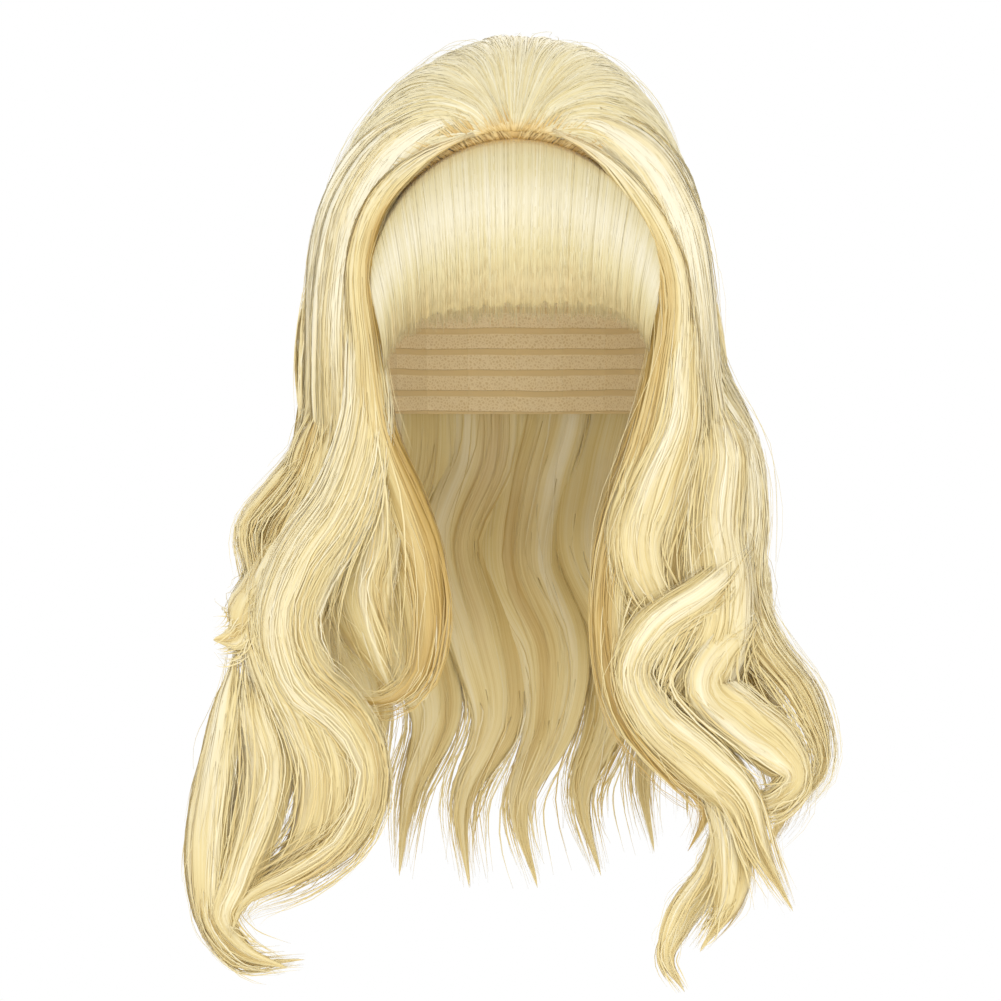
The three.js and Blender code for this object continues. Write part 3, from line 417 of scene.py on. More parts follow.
class Skin:
    """Corners, faces, a UV in millimetres for each face corner, and tone and root values, put together."""

    def __init__(self):
        self.corners, self.tone, self.root, self.faces, self.uvs, self.rims = [], [], [], [], [], []
        self.count = 0

    def add(self, corners, faces, uvs, tone, root):
        """Corners (n, 3); faces as arrays (k, 3) or (k, 4); uvs to match; tone and root one a corner."""
        corners = corners.reshape(-1, 3)
        self.corners.append(corners)
        self.tone.append(np.broadcast_to(tone, corners.shape[:1]).astype(float))
        self.root.append(np.broadcast_to(root, corners.shape[:1]).astype(float))
        self.faces += [f + self.count for f in faces]
        self.uvs += uvs
        self.count += len(corners)

    def piece(self, name, slot, material, *nodes):
        """Makes the mesh object, which rides on the wig and stands for the CAD nodes named.

        The two lower edges of every strand are sharp, so that it lights evenly.
        """
        mesh = bpy.data.meshes.new(name)
        corners = np.concatenate(self.corners) * MM
        numbers = np.concatenate([f.ravel() for f in self.faces])
        sizes = np.concatenate([np.full(len(f), f.shape[1]) for f in self.faces])
        starts = np.concatenate([[0], np.cumsum(sizes)[:-1]])
        mesh.vertices.add(len(corners))
        mesh.vertices.foreach_set("co", corners.astype(np.float32).ravel())
        mesh.loops.add(len(numbers))
        mesh.loops.foreach_set("vertex_index", numbers.astype(np.int32))
        mesh.polygons.add(len(sizes))
        mesh.polygons.foreach_set("loop_start", starts.astype(np.int32))
        mesh.polygons.foreach_set("use_smooth", np.ones(len(sizes), bool))
        mesh.update(calc_edges=True)
        uv = np.concatenate([u.reshape(-1, 2) for u in self.uvs])
        mesh.uv_layers.new(name="combed").data.foreach_set("uv", uv.astype(np.float32).ravel())
        for key, values in (("tone", self.tone), ("root", self.root)):
            layer = mesh.attributes.new(key, "FLOAT", "POINT")
            layer.data.foreach_set("value", np.concatenate(values).astype(np.float32))
        ends = np.empty(len(mesh.edges) * 2, np.int32)
        mesh.edges.foreach_get("vertices", ends)
        low, high = np.sort(ends.reshape(-1, 2), axis=1).T
        sharp = np.zeros(len(low), bool)
        for first, last in self.rims:
            sharp |= (low >= first) & (high < last) & (high - low == 3) & ((low - first) % 3 != 2)
        mesh.attributes.new("sharp_edge", "BOOLEAN", "EDGE").data.foreach_set("value", sharp)
        mesh.materials.append(material)
        piece = placed(name, mesh)
        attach(piece, "root")
        if nodes:
            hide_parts(*nodes)


def add_tube(skin, rings, u, v, tone):
    """Closed tube from rings (step, around, 3): quads between rings and a fan to a pole at each end."""
    steps, around = rings.shape[:2]
    j, i = np.meshgrid(np.arange(steps - 1), np.arange(around), indexing="ij")
    i2 = (i + 1) % around
    number = lambda row, col: row * around + col
    quads = np.stack([number(j, i), number(j, i2), number(j + 1, i2), number(j + 1, i)], -1).reshape(-1, 4)
    quad_uv = np.stack(
        [np.stack([u[a], v[b]], -1) for a, b in ((i, j), (i + 1, j), (i + 1, j + 1), (i, j + 1))], 2
    )
    k = np.arange(around)
    start, end = steps * around, steps * around + 1
    first = np.stack([np.full(around, start), (k + 1) % around, k], -1)
    last = np.stack([np.full(around, end), number(steps - 1, k), number(steps - 1, (k + 1) % around)], -1)
    pole_uv = lambda row, order: np.stack(
        [np.stack([u[c], np.full(around, v[row])], -1) for c in order], 1
    )
    corners = np.concatenate([rings.reshape(-1, 3), [rings[0].mean(0)], [rings[-1].mean(0)]])
    skin.add(
        corners, [quads, first, last],
        [quad_uv.reshape(-1, 4, 2), pole_uv(0, (k, k + 1, k)), pole_uv(-1, (k, k, k + 1))],
        np.concatenate([tone.ravel(), [tone.flat[0], tone.flat[-1]]]), 0.0,
    )


def add_sheet(skin, outer, inner, u, v, tone, root):
    """Closed sheet from two grids (row, column, 3), the outer one seen with rows down and columns right."""
    rows, cols = outer.shape[:2]
    j, i = np.meshgrid(np.arange(rows - 1), np.arange(cols - 1), indexing="ij")
    number = lambda row, col: row * cols + col
    quad = lambda *pairs: np.stack([number(r, c) for r, c in pairs], -1).reshape(-1, 4)
    quad_uv = lambda *pairs: np.stack([np.stack([u[c], v[r]], -1) for r, c in pairs], -2).reshape(-1, 4, 2)
    front = ((j, i), (j + 1, i), (j + 1, i + 1), (j, i + 1))
    back = ((j, i), (j, i + 1), (j + 1, i + 1), (j + 1, i))
    faces, uvs = [quad(*front), quad(*back) + rows * cols], [quad_uv(*front), quad_uv(*back)]
    around = np.concatenate([
        number(np.zeros(cols - 1, int), np.arange(cols - 1)), number(np.arange(rows - 1), cols - 1),
        number(rows - 1, np.arange(cols - 1, 0, -1)), number(np.arange(rows - 1, 0, -1), 0),
    ])
    after = np.roll(around, -1)
    faces.append(np.stack([around, after, after + rows * cols, around + rows * cols], -1))
    flat = lambda n: np.stack([u[n % cols], v[n // cols]], -1)
    uvs.append(np.stack([flat(around), flat(after), flat(after), flat(around)], 1))
    corners = np.concatenate([outer.reshape(-1, 3), inner.reshape(-1, 3)])
    skin.add(corners, faces, uvs, np.tile(tone.ravel(), 2), np.tile(root.ravel(), 2))


def add_strands(skin, paths, out, size, tone, root, rng):
    """Strands with three sides along paths (strand, step, 3): a flat back and a ridge that faces out.

    Size is their width and their thickness along the steps.
    """
    count, steps = paths.shape[:2]
    wide, thick = size
    tangent = unit(np.gradient(paths, axis=1))
    out = unit(out - tangent * (out * tangent).sum(-1, keepdims=True))
    half = np.cross(out, tangent) * wide[..., None] / 2
    corners = np.stack([paths - half, paths + half, paths + out * thick[..., None]], 2)
    base = (np.arange(count) * steps * 3)[:, None, None]
    j = np.arange(steps - 1)[None, :, None] * 3
    k = np.arange(3)[None, None, :]
    k2 = (k + 1) % 3
    quads = np.stack([base + j + k, base + j + k2, base + j + 3 + k2, base + j + 3 + k], -1).reshape(-1, 4)
    base = base[:, 0, 0]
    last = base + (steps - 1) * 3
    ends = np.concatenate([
        np.stack([base, base + 2, base + 1], -1), np.stack([last, last + 1, last + 2], -1),
    ])
    spans = np.cumsum(np.linalg.norm(np.diff(paths, axis=1), axis=-1), axis=1)
    far = np.concatenate([np.zeros((count, 1)), spans], 1)
    lane = rng.uniform(0, 4000, count)[:, None] + np.zeros((1, steps))
    side_uv = np.stack([lane, far + rng.uniform(0, 400, count)[:, None]], -1)
    per_corner = np.repeat(side_uv[:, :, None, :], 3, 2).reshape(-1, 2)
    spread = lambda x: np.repeat(np.broadcast_to(x, (count, steps))[..., None], 3, 2).ravel()
    skin.rims.append((skin.count, skin.count + corners.size // 3))
    skin.add(corners, [quads, ends], [per_corner[quads], per_corner[ends]], spread(tone), spread(root))


def drifting(rng, count, steps, amount, turns):
    """Slow wandering: for each strand a sum of two sines with its own phases, along the steps."""
    phase = rng.uniform(0, 2 * math.pi, (2, count, 1))
    rate = rng.uniform(0.4, 1.0, (2, count, 1)) * turns * 2 * math.pi * shares(steps)
    return amount * (0.65 * np.sin(rate[0] + phase[0]) + 0.35 * np.sin(1.9 * rate[1] + phase[1]))


def tapered(steps, root_share, tip_share=0.15):
    """Size along a strand: narrow at the root, full between, narrowing to the tip."""
    t = shares(steps)
    return mix(root_share, 1, ease(t, 0, 0.15)) * mix(1, tip_share, ease(t, 0.6, 1))


def wisp(size, steps, root_share, tip_share=0.15):
    """Width and thickness along strands that have a size each."""
    shape = size * tapered(steps, root_share, tip_share)
    return STRAND_WIDTH * shape, STRAND_THICKNESS * shape


def stray_hair():
    """Width and thickness along a single hair."""
    shape = LOOSE_WIDTH * tapered(STRAND_STEPS, 0.6, 0.4)
    return shape, 0.7 * shape


# One lock
def lobes(way, angle, share):
    """Ridges and valleys round a lock: 0.08 cos 3a + 0.06 cos 5a + 0.03 cos 11a, drifting along it."""
    p = way.phase
    drift = 0.08 * np.cos(3 * angle + p[0] + 3.5 * share) + 0.06 * np.cos(5 * angle + p[1] - 4.5 * share)
    return drift + 0.03 * np.cos(11 * angle + p[2] + 5 * share)


def shaded(way, angle, share, tone):
    """A lock's tone: painted highlight on its ridges, painted golden shade in its valleys and, below its
    start, on its inner side.
    """
    inner = np.maximum(np.cos(angle) * way.inner, 0) ** 0.7 * ease(share, 0.06, 0.25)
    return tone + 1.3 * lobes(way, angle, share) - way.dusk * inner


def lock_body(skin, way, rng, tone, dusk=0.0, start=0.15):
    """Oval tube along a way, with lobes and fine combed ridges, thin where it starts and at its tip.

    Its fifth argument is painted shade: how much more golden its inner side is made. Start is its width where
    it begins, as a share.
    """
    way.phase, way.dusk = rng.uniform(0, 2 * math.pi, 4), dusk
    way.inner = -np.sign(way.place[0, 0]) * np.sign(way.across[LOCK_STEPS // 3, 0])
    angle = np.linspace(0, 2 * math.pi, LOCK_AROUND, endpoint=False)[None, :]
    t = np.linspace(0, 1, LOCK_STEPS)[:, None]
    closing = np.sqrt(np.clip(1 - np.abs(2 * t - 1) ** 24, 0, 1)) + 0.02
    closing = closing * (1 - 0.72 * ease(t, 0.66, 1))
    broad, tall = mix(start, 1, ease(t, 0, 0.18)), mix(0.15, 1, ease(t, 0, 0.18))
    radius = 0.95 * (1 + lobes(way, angle, t) + 0.02 * np.cos(19 * angle + way.phase[3] - 6 * t)) * closing
    rings, _ = way.at(t, np.cos(angle) * radius * broad, np.sin(angle) * radius * tall)
    u = np.linspace(0, 1, LOCK_AROUND + 1) * math.pi * 0.6 * (way.wide.max() + way.thick.max())
    shade = shaded(way, angle, t, tone[:, None])
    add_tube(skin, rings, u + rng.uniform(0, 1000), way.length + rng.uniform(0, 500), shade)


def lock_strands(skin, way, rng, count, tone, behind=0.2, root=0.0):
    """Strands laid on a lock: each keeps near its own angle for about half the lock and lifts at its tip.

    Behind is the share of them on the lock's back, and root is how golden they are where it starts.
    """
    steps, t = STRAND_STEPS, shares(STRAND_STEPS)
    facing = draw(rng, count, -0.35, math.pi + 0.35)
    facing = np.where(draw(rng, count, 0, 1) < behind, facing + math.pi, facing)
    begin = draw(rng, count, -0.1, 0.72)
    finish = np.minimum(begin + draw(rng, count, 0.3, 0.6), draw(rng, count, 0.96, 1))
    share = mix(np.maximum(begin, 0), finish, t)
    facing = facing + drifting(rng, count, steps, 0.12, 1.2)
    away = (1 + lobes(way, facing, share)) * draw(rng, count, 0.99, 1.05) * mix(0.3, 1, ease(share, 0, 0.15))
    away = away + rng.exponential(0.1, count)[:, None] * t**3
    away = away * mix(1, draw(rng, count, 0.1, 1.15), ease(share, 0.62, 0.95))
    paths, out = way.around(share, facing, away)
    paths = paths + out * drifting(rng, count, steps, 0.25, 2)[..., None]
    size = wisp(draw(rng, count, 0.6, 1.3), steps, 0.3)
    along = np.interp(share, np.linspace(0, 1, LOCK_STEPS), tone)
    shade = shaded(way, facing, share, along) + stray(rng, count, 0.055)
    golden = root * (1 - ease(share * way.length[-1], 4, 40))
    add_strands(skin, paths, out, size, shade, golden, rng)


def tip_strands(skin, way, rng, count, tone):
    """A soft brush of strands round a lock's last third, as wide as the lock is where they start."""
    steps, t = TIP_STEPS, shares(TIP_STEPS)
    share = mix(draw(rng, count, 0.62, 0.8), draw(rng, count, 0.86, 1.0), t)
    start = int(0.66 * (LOCK_STEPS - 1))
    facing = draw(rng, count, 0, 2 * math.pi) + drifting(rng, count, steps, 0.25, 1)
    away = draw(rng, count, 0.3, 0.95) * (1 - draw(rng, count, 0, 0.6) * t)
    sideways = np.cos(facing) * away * way.wide[start] / 2
    outward = np.sin(facing) * away * way.thick[start] / 2
    across, out = unit(way.along(share, way.across)), unit(way.along(share, way.out))
    paths = way.along(share, way.place) + across * sideways[..., None] + out * outward[..., None]
    size = wisp(draw(rng, count, 0.5, 1.1), steps, 0.4, 0.1)
    add_strands(skin, paths, out, size, tone + stray(rng, count, TONE_SPREAD), 0.0, rng)


def loose_hairs(skin, way, rng, count):
    """Single hairs that stand a little off a lock, widest apart at their tips."""
    steps, t = STRAND_STEPS, shares(STRAND_STEPS)
    begin = draw(rng, count, 0, 0.6)
    share = np.minimum(begin + draw(rng, count, 0.25, 0.5) * t, 1)
    facing = draw(rng, count, -0.5, math.pi + 0.5) + drifting(rng, count, steps, 0.4, 1.5)
    away = 1.05 + draw(rng, count, 0.05, 0.55) * ease(t, 0, 0.9)
    paths, out = way.around(share, facing, away)
    paths = paths + out * drifting(rng, count, steps, 1.2, 2)[..., None]
    add_strands(skin, paths, out, stray_hair(), LOOSE_TONE, 0.0, rng)


def curtain_strands(skin, ways, rng, count, tone):
    """Strands that come down the back of the mound and run on along the locks below it.

    At each drop a strand lies between the mound's surface at its own bearing and its lock's surface.
    """
    for way in ways:
        top = way.drops()[0]
        begin = draw(rng, count, 14, 84)
        drop = begin + draw(rng, count, 90, 230) * shares(STRAND_STEPS)
        share = way.share_at(drop)
        facing = draw(rng, count, 0.1, math.pi - 0.1)
        away = (1 + lobes(way, facing, share)) * draw(rng, count, 1.0, 1.08)
        low, out = way.around(share, facing, away)
        full, _ = way.at(np.full((count, 1), 0.24), 1.3 * np.cos(facing), np.sin(facing))
        level = unit((full - mound.centre) * (1, 1, 0))
        high = level * (mound.reach(level, -drop) + 1.4)[..., None] + mound.centre * (1, 1, 0)
        high[..., 2] = -drop
        lower = ease(drop, top + 4, top + 74)[..., None]
        size = wisp(draw(rng, count, 0.6, 1.2), STRAND_STEPS, 0.2)
        shade = tone + stray(rng, count, TONE_SPREAD) - 0.08 * ease(drop, 60, 160)
        out = unit(mix(level, out, lower))
        add_strands(skin, mix(high, low, lower), out, size, shade, 0.0, rng)


def bridge_strands(skin, one, other, rng, count, tone):
    """Strands that leave one lock and join another: at each drop a blend of a place on both, from 0 to 1."""
    drops = [way.drops() for way in (one, other)]
    high, low = max(d[0] for d in drops), min(d[-1] for d in drops)
    begin, finish = mix(high, low, draw(rng, count, 0, 0.4)), mix(high, low, draw(rng, count, 0.7, 1))
    drop = mix(begin, finish, shares(STRAND_STEPS))
    facing = draw(rng, count, 0.3, math.pi - 0.3) + drifting(rng, count, STRAND_STEPS, 0.08, 1)
    places = []
    for way in (one, other):
        share = way.share_at(drop)
        away = (1 + lobes(way, facing, share)) * draw(rng, count, 1, 1.08)
        places.append(way.around(share, facing, away))
    start, change = draw(rng, count, 0, 1), draw(rng, count, -0.25, 0.25)
    blend = np.clip(start + change * shares(STRAND_STEPS), 0, 1)[..., None]
    paths, out = (mix(a, b, blend) for a, b in zip(*places))
    size = wisp(draw(rng, count, 0.5, 1.1), STRAND_STEPS, 0.2)
    add_strands(skin, paths, unit(out), size, tone + stray(rng, count, TONE_SPREAD), 0.0, rng)


# The crown
def hairline(s):
    """The headband line, an arc in an upright plane, at s from -1 to 1."""
    angle = HAIRLINE_SWEEP * s
    return np.stack([
        HAIRLINE_HALF_WIDTH * np.sin(angle),
        np.full_like(angle, -HAIRLINE_FORWARD),
        -HAIRLINE_TOP_DROP - HAIRLINE_HEIGHT * (1 - np.cos(angle)),
    ], -1)


# Guides of the combed flow, from the middle of the headband line over the mound to its rim: the one
# straight back, then outward, and last the one that follows the headband line down.
COMB_GUIDES = [
    [
        (0, -52, -4), (0, -47, 18), (0, -15, 45), (0, 30, 49),
        (0, 80, 30), (0, 115, -20), (0, 124, -80), (0, 124, -138),
    ],
    [
        (3, -52, -4), (11, -46, 20), (24, -18, 42), (44, 22, 44),
        (66, 62, 14), (80, 88, -34), (84, 96, -86), (82, 98, -138),
    ],
    [
        (6, -52, -4), (19, -46, 19), (40, -28, 33), (66, 2, 28),
        (86, 30, -6), (95, 44, -50), (97, 50, -94), (96, 54, -138),
    ],
    [
        (11, -52, -5), (27, -49, 11), (49, -40, 17), (72, -26, 0),
        (88, -10, -32), (97, 0, -68), (101, 8, -104), (102, 14, -138),
    ],
    [
        (16, -52, -6), (32, -52, -9), (49, -52, -17), (63, -52, -34),
        (73, -52, -54), (79, -52, -74), (84, -54, -90), (87, -56, -104),
    ],
]
COMB_ACROSS, COMB_ALONG = 257, 96


def comb_grid():
    """Directions from the mound's middle along the guides and between them, on both sides."""
    across, along = np.linspace(0, 1, COMB_ACROSS), np.linspace(0, 1, COMB_ALONG)
    lines = [np.array(g, float) for g in COMB_GUIDES]
    lines = [g * (-1, 1, 1) for g in lines[:0:-1]] + lines
    lines = np.stack([smooth_path(g, along) for g in lines])
    between = np.stack([smooth_path(lines[:, k], across) for k in range(COMB_ALONG)], 1)
    return unit(between - mound.centre * (0, 1, 1))


COMB = comb_grid()
SWEEPS = [lock_way(t[n]) for t in (LEFT_LOCKS, RIGHT_LOCKS) for n in ("temple", "top_sweep", "outer_sweep")]


def sweep_rise(p):
    """How far combed hair rises where it goes over a sweep: most of the sweep's height, gone beside it."""
    flat = p.reshape(-1, 3)
    rise = np.zeros(len(flat))
    for way in SWEEPS:
        apart = np.linalg.norm(flat[:, None, :] - way.place[None, ::3, :], axis=-1)
        near = apart.argmin(1)
        wide, thick = way.wide[::3][near] / 2, way.thick[::3][near]
        away = apart[np.arange(len(flat)), near]
        rise = np.maximum(rise, 0.6 * thick * (1 - ease(away, 0.5 * wide, wide + 18)))
    return rise.reshape(p.shape[:-1])


def combed(s, t, grow):
    """Where combed hair lies: s from -1 to 1 picks the line between the guides, t how far along it.

    The point is where the line's direction leaves the mound, moved out along the mound's outward way.
    """
    a = (np.clip(s, -1, 1) + 1) / 2 * (COMB_ACROSS - 1)
    b = np.clip(t, 0, 1) * (COMB_ALONG - 1)
    i, j = np.minimum(a.astype(int), COMB_ACROSS - 2), np.minimum(b.astype(int), COMB_ALONG - 2)
    u, v = (a - i)[..., None], (b - j)[..., None]
    d = mix(mix(COMB[i, j], COMB[i + 1, j], u), mix(COMB[i, j + 1], COMB[i + 1, j + 1], u), v)
    p = mound.surface(unit(d))
    return p + mound.outward(p) * (grow + sweep_rise(p))[..., None]


def crown_fold(s, t):
    """The height of the mound's combed folds: cosines of 19 s, 43 s and 87 s that drift as they run back."""
    fold = 0.6 * np.cos(19 * s + 1.1 + 1.2 * t) + 0.35 * np.cos(43 * s + 4 - 2 * t)
    return 0.6 + (fold + 0.2 * np.cos(87 * s + 3 * t)) * ease(t, 0, 0.2)


def crown_golden(t, reach):
    """How golden the mound's hair is: most at the headband line, and a little again down its back."""
    return 1 - ease(t, 0, reach) + 0.2 * ease(t, 0.5, 0.9)


def grid(rows, cols):
    """A sheet's places across, from -1 to 1, and down, from 0 to 1, one for each of its corners."""
    return np.meshgrid(np.linspace(-1, 1, cols), np.linspace(0, 1, rows))


def crown_body(skin):
    """The combed mound as a closed sheet: its outside on the combed flow, its inside on the cap."""
    rows, cols = 64, 180
    s, t = grid(rows, cols)
    outer = combed(s, t, crown_fold(s, t))
    inner = hollow.grown(CAP_WALL + CROWN_SEAT).surface(unit(outer - hollow.centre))
    tone = 0.6 + 0.06 * np.cos(9 * s + 2) - 0.1 * ease(t, 0.6, 1)
    u, v = np.linspace(-1, 1, cols) * CROWN_UV_HALF_WIDTH, np.linspace(0, 1, rows) * CROWN_UV_LENGTH
    add_sheet(skin, outer, inner, u, v, tone, crown_golden(t, 0.07))


def crown_strands(skin, rng, count):
    """Strands of the combed mound: they start along the headband line and keep to the flow between guides."""
    steps = STRAND_STEPS
    place = np.sort(rng.uniform(-1, 1, count))[:, None]
    begin = np.where(draw(rng, count, 0, 1) < 0.3, 0.0, draw(rng, count, 0, 0.72))
    finish = np.minimum(begin + draw(rng, count, 0.28, 0.42), 1)
    t = mix(begin, finish, shares(steps))
    s = place + drifting(rng, count, steps, 0.012, 1.2) * ease(t, 0, 0.3)
    grow = crown_fold(s, t) + draw(rng, count, 0.05, 0.55) + drifting(rng, count, steps, 0.08, 2)
    paths = combed(s, t, grow)
    size = wisp(draw(rng, count, 0.6, 1.3), steps, 0.5, 0.2)
    tone = 0.64 + stray(rng, count, TONE_SPREAD)
    add_strands(skin, paths, mound.outward(paths), size, tone, crown_golden(t, 0.06), rng)


def loose_crown_hairs(skin, rng, count):
    """Single hairs that stand 2 to 5 mm off the combed mound and cross its flow a little."""
    along = shares(STRAND_STEPS)
    t = draw(rng, count, 0, 0.7) + draw(rng, count, 0.15, 0.35) * along
    s = draw(rng, count, -0.85, 0.85) + drifting(rng, count, STRAND_STEPS, 0.03, 1)
    paths = combed(s, t, 2 + draw(rng, count, 0, 3.2) * np.sin(math.pi * along))
    add_strands(skin, paths, mound.outward(paths), stray_hair(), LOOSE_CROWN_TONE, 0.0, rng)


def root_strands(skin, rng, count):
    """Short golden strands on the headband line: they leave it outward in its middle, along it beside."""
    steps, t = ROOT_STEPS, shares(ROOT_STEPS)
    place = draw(rng, count, -0.5, 0.5)
    reach = draw(rng, count, 9, 24) * (1 - 0.4 * np.abs(place))
    turn = HAIRLINE_SWEEP * place
    across, along = 1 - 0.85 * np.abs(place), (0.3 + 0.8 * np.abs(place)) * np.sign(place)
    sideways = np.sin(turn) * across + np.cos(turn) * along
    upward = np.cos(turn) * across - np.sin(turn) * along
    away = np.stack(np.broadcast_arrays(sideways, 0.1 + 0.4 * t, upward), -1)
    p = mound.pushed_out(hairline(place) + away * (reach * t)[..., None])
    height = sweep_rise(p) * ease(t, 0, 0.5) + 0.4 + draw(rng, count, 0, 1.4) * ease(t, 0, 0.3)
    p = p + mound.outward(p) * height[..., None]
    size = wisp(draw(rng, count, 0.6, 1.1), steps, 0.8, 0.1)
    tone = 0.45 + stray(rng, count, 0.1) + 0.15 * t
    add_strands(skin, p, mound.outward(p), size, tone, 1 - ease(t, 0.2, 1), rng)


def ridge_strands(skin, rng, count):
    """Very short strands over the headband line, from just before it to just behind, like a combed seam."""
    steps, t = RIDGE_STEPS, shares(RIDGE_STEPS)
    place = draw(rng, count, -0.6, 0.6)
    lean = stray(rng, count, 0.02) + 0.05 * np.sign(place)
    turn = HAIRLINE_SWEEP * place
    scale = draw(rng, count, 0.8, 1.25)
    above = (-2.2 + 7.5 * t) * scale
    forward = -4.2 * scale * np.sin(math.pi * t) - 0.6 + 1.5 * t
    p = hairline(place + lean * t) + np.stack([np.sin(turn) * above, forward, np.cos(turn) * above], -1)
    upward = np.cos(turn) * (0.2 + 0.6 * t)
    out = unit(np.stack(np.broadcast_arrays(0.4 * np.sin(turn), t - 1.2, upward), -1))
    size = wisp(draw(rng, count, 0.5, 1.1), steps, 0.6, 0.3)
    tone = 0.42 + stray(rng, count, 0.12) + 0.1 * t
    add_strands(skin, p, out, size, tone, 0.9 - 0.4 * t, rng)


# The fringe
def fringe_place(s, v):
    """Point of the fringe at s across and v down: a Bezier curve from the headband line to its tip."""
    root = hairline(s) - (0, 0.3, 0)
    middle = np.cos(HAIRLINE_SWEEP * s) ** 0.8
    tip = np.stack([
        FRINGE_SIDE_HALF_WIDTH * np.sin(HAIRLINE_SWEEP * s),
        -mix(FRINGE_TIP_FORWARD, FRINGE_SIDE_TIP_FORWARD, np.abs(s) ** 2.4),
        -mix(FRINGE_TIP_DROP, FRINGE_SIDE_TIP_DROP, np.abs(s) ** 3) + FRINGE_TIP_TILT * s,
    ], -1)
    height = root[..., 2] - tip[..., 2]
    zero = np.zeros_like(height)
    leave = root + np.stack([zero, -0.18 * HEAD_DEPTH * middle, -0.1 * height], -1)
    arrive = tip + np.stack([zero, -FRINGE_BULGE * middle, 0.42 * height], -1)
    v = v[..., None]
    return (1 - v) ** 3 * root + 3 * v * (1 - v) ** 2 * leave + 3 * v**2 * (1 - v) * arrive + v**3 * tip


def fringe_out(p):
    """The way out at a point of the fringe: (x/a^2, y/b^2, z/c^2) from the hollow's middle, unit length."""
    sizes = np.array([HAIRLINE_HALF_WIDTH**2, FRINGE_TIP_FORWARD**2, HEAD_CROWN_HEIGHT**2])
    return unit((p + (0, 0, HEAD_CROWN_HEIGHT)) / sizes)


def fringe_painted_light(v):
    """Painted highlight where the fringe turns down and faces the light above, and painted golden shade
    towards its tips, where it curves in and its layers thin out.
    """
    return 0.28 * np.exp(-(((v - 0.5) / 0.17) ** 2)) - 0.2 * ease(v, 0.62, 1)


def fringe_ridge(s):
    """The height of the fringe's combed ridges at its tips: cosines of 37 s, 71 s and 131 s."""
    return 0.35 * np.cos(37 * s + 2) + 0.25 * np.cos(71 * s + 5) + 0.15 * np.cos(131 * s + 1)


def fringe_clumps(s):
    """Where the fringe's tips are longer or shorter: half a cosine of 61 s and half one of 97 s."""
    return 0.5 * np.cos(61 * s) + 0.5 * np.cos(97 * s + 1)


def fringe_body(skin):
    """The fringe as a closed sheet with combed ridges and stepped tips."""
    rows, cols = 28, 220
    s, v = grid(rows, cols)
    step = fringe_clumps(s) + 0.4 * np.cos(213 * s + 3)
    p = fringe_place(s, v * (0.985 + 0.012 * step))
    out = fringe_out(p)
    outer = p + out * (fringe_ridge(s) * v)[..., None]
    inner = p - out * mix(FRINGE_ROOT_THICKNESS, 0.45 * FRINGE_TIP_THICKNESS, v)[..., None]
    tone, golden = 0.5 + 0.03 * step + fringe_painted_light(v), 1 - ease(v, 0, 0.2)
    across, down = np.linspace(-1, 1, cols) * FRINGE_UV_HALF_WIDTH, np.linspace(0, 1, rows) * FRINGE_UV_LENGTH
    add_sheet(skin, outer, inner, across, down, tone, golden)


def fringe_strands(skin, rng, count):
    """Straight strands down the fringe, a few of them ending short or long."""
    steps = FRINGE_STEPS
    place = np.sort(rng.uniform(-1, 1, count))[:, None]
    finish = 1.045 + 0.018 * fringe_clumps(place) + stray(rng, count, 0.016)
    finish = finish - rng.exponential(0.008, count)[:, None]
    v = shares(steps) * finish
    s = np.clip(place + drifting(rng, count, steps, 0.01, 0.8) * v, -1.01, 1.01)
    p = fringe_place(s, v)
    out = fringe_out(p)
    layer = fringe_ridge(s) * v + draw(rng, count, 0.05, 0.4) * ease(v, 0, 0.1)
    size = draw(rng, count, 0.55, 1.2)
    width, _ = wisp(size, steps, 0.7, 0.25)
    _, thick = wisp(0.8 * size, steps, 0.7, 0.2)
    tone = 0.52 + stray(rng, count, 0.05) + fringe_painted_light(v)
    add_strands(skin, p + out * layer[..., None], out, (width, thick), tone, 1 - ease(v, 0, 0.16), rng)


# Materials
def linear(code):
    """An sRGB hex colour as linear red, green, blue and alpha."""
    parts = [int(code[i : i + 2], 16) / 255 for i in (1, 3, 5)]
    return tuple(c / 12.92 if c <= 0.04045 else ((c + 0.055) / 1.055) ** 2.4 for c in parts) + (1.0,)


def node(tree, kind, settings=None, inputs=None, links=None, stops=()):
    """Adds a node, sets its settings and socket values, and links sockets from (node, output) pairs.

    Stops are the (place, hex colour) pairs of a colour ramp.
    """
    made = tree.nodes.new("ShaderNode" + kind)
    for key, value in (settings or {}).items():
        setattr(made, key, value)
    for key, value in (inputs or {}).items():
        made.inputs[key].default_value = value
    for key, (source, output) in (links or {}).items():
        tree.links.new(source.outputs[output], made.inputs[key])
    if stops:
        elements = made.color_ramp.elements
        elements.remove(elements[1])
        elements[0].position, elements[0].color = stops[0][0], linear(stops[0][1])
        for place, code in stops[1:]:
            elements.new(place).color = linear(code)
    return made


def new_material(name):
    """A new material and its node tree, without nodes."""
    material = bpy.data.materials.new(name)
    material.use_nodes = True
    material.node_tree.nodes.clear()
    return material, material.node_tree


# The grain of combed hair, wisps first and then clumps: width and length in mm, detail and roughness
# of the noise, and how much of the tone it moves.
HAIR_GRAIN = ((0.9, 110, 3, 0.65, 0.9), (7, 260, 2, 0.5, 0.7))
ROOT_COLOURS = ((0.1, "#a87a34"), (0.8, "#dcb968"))


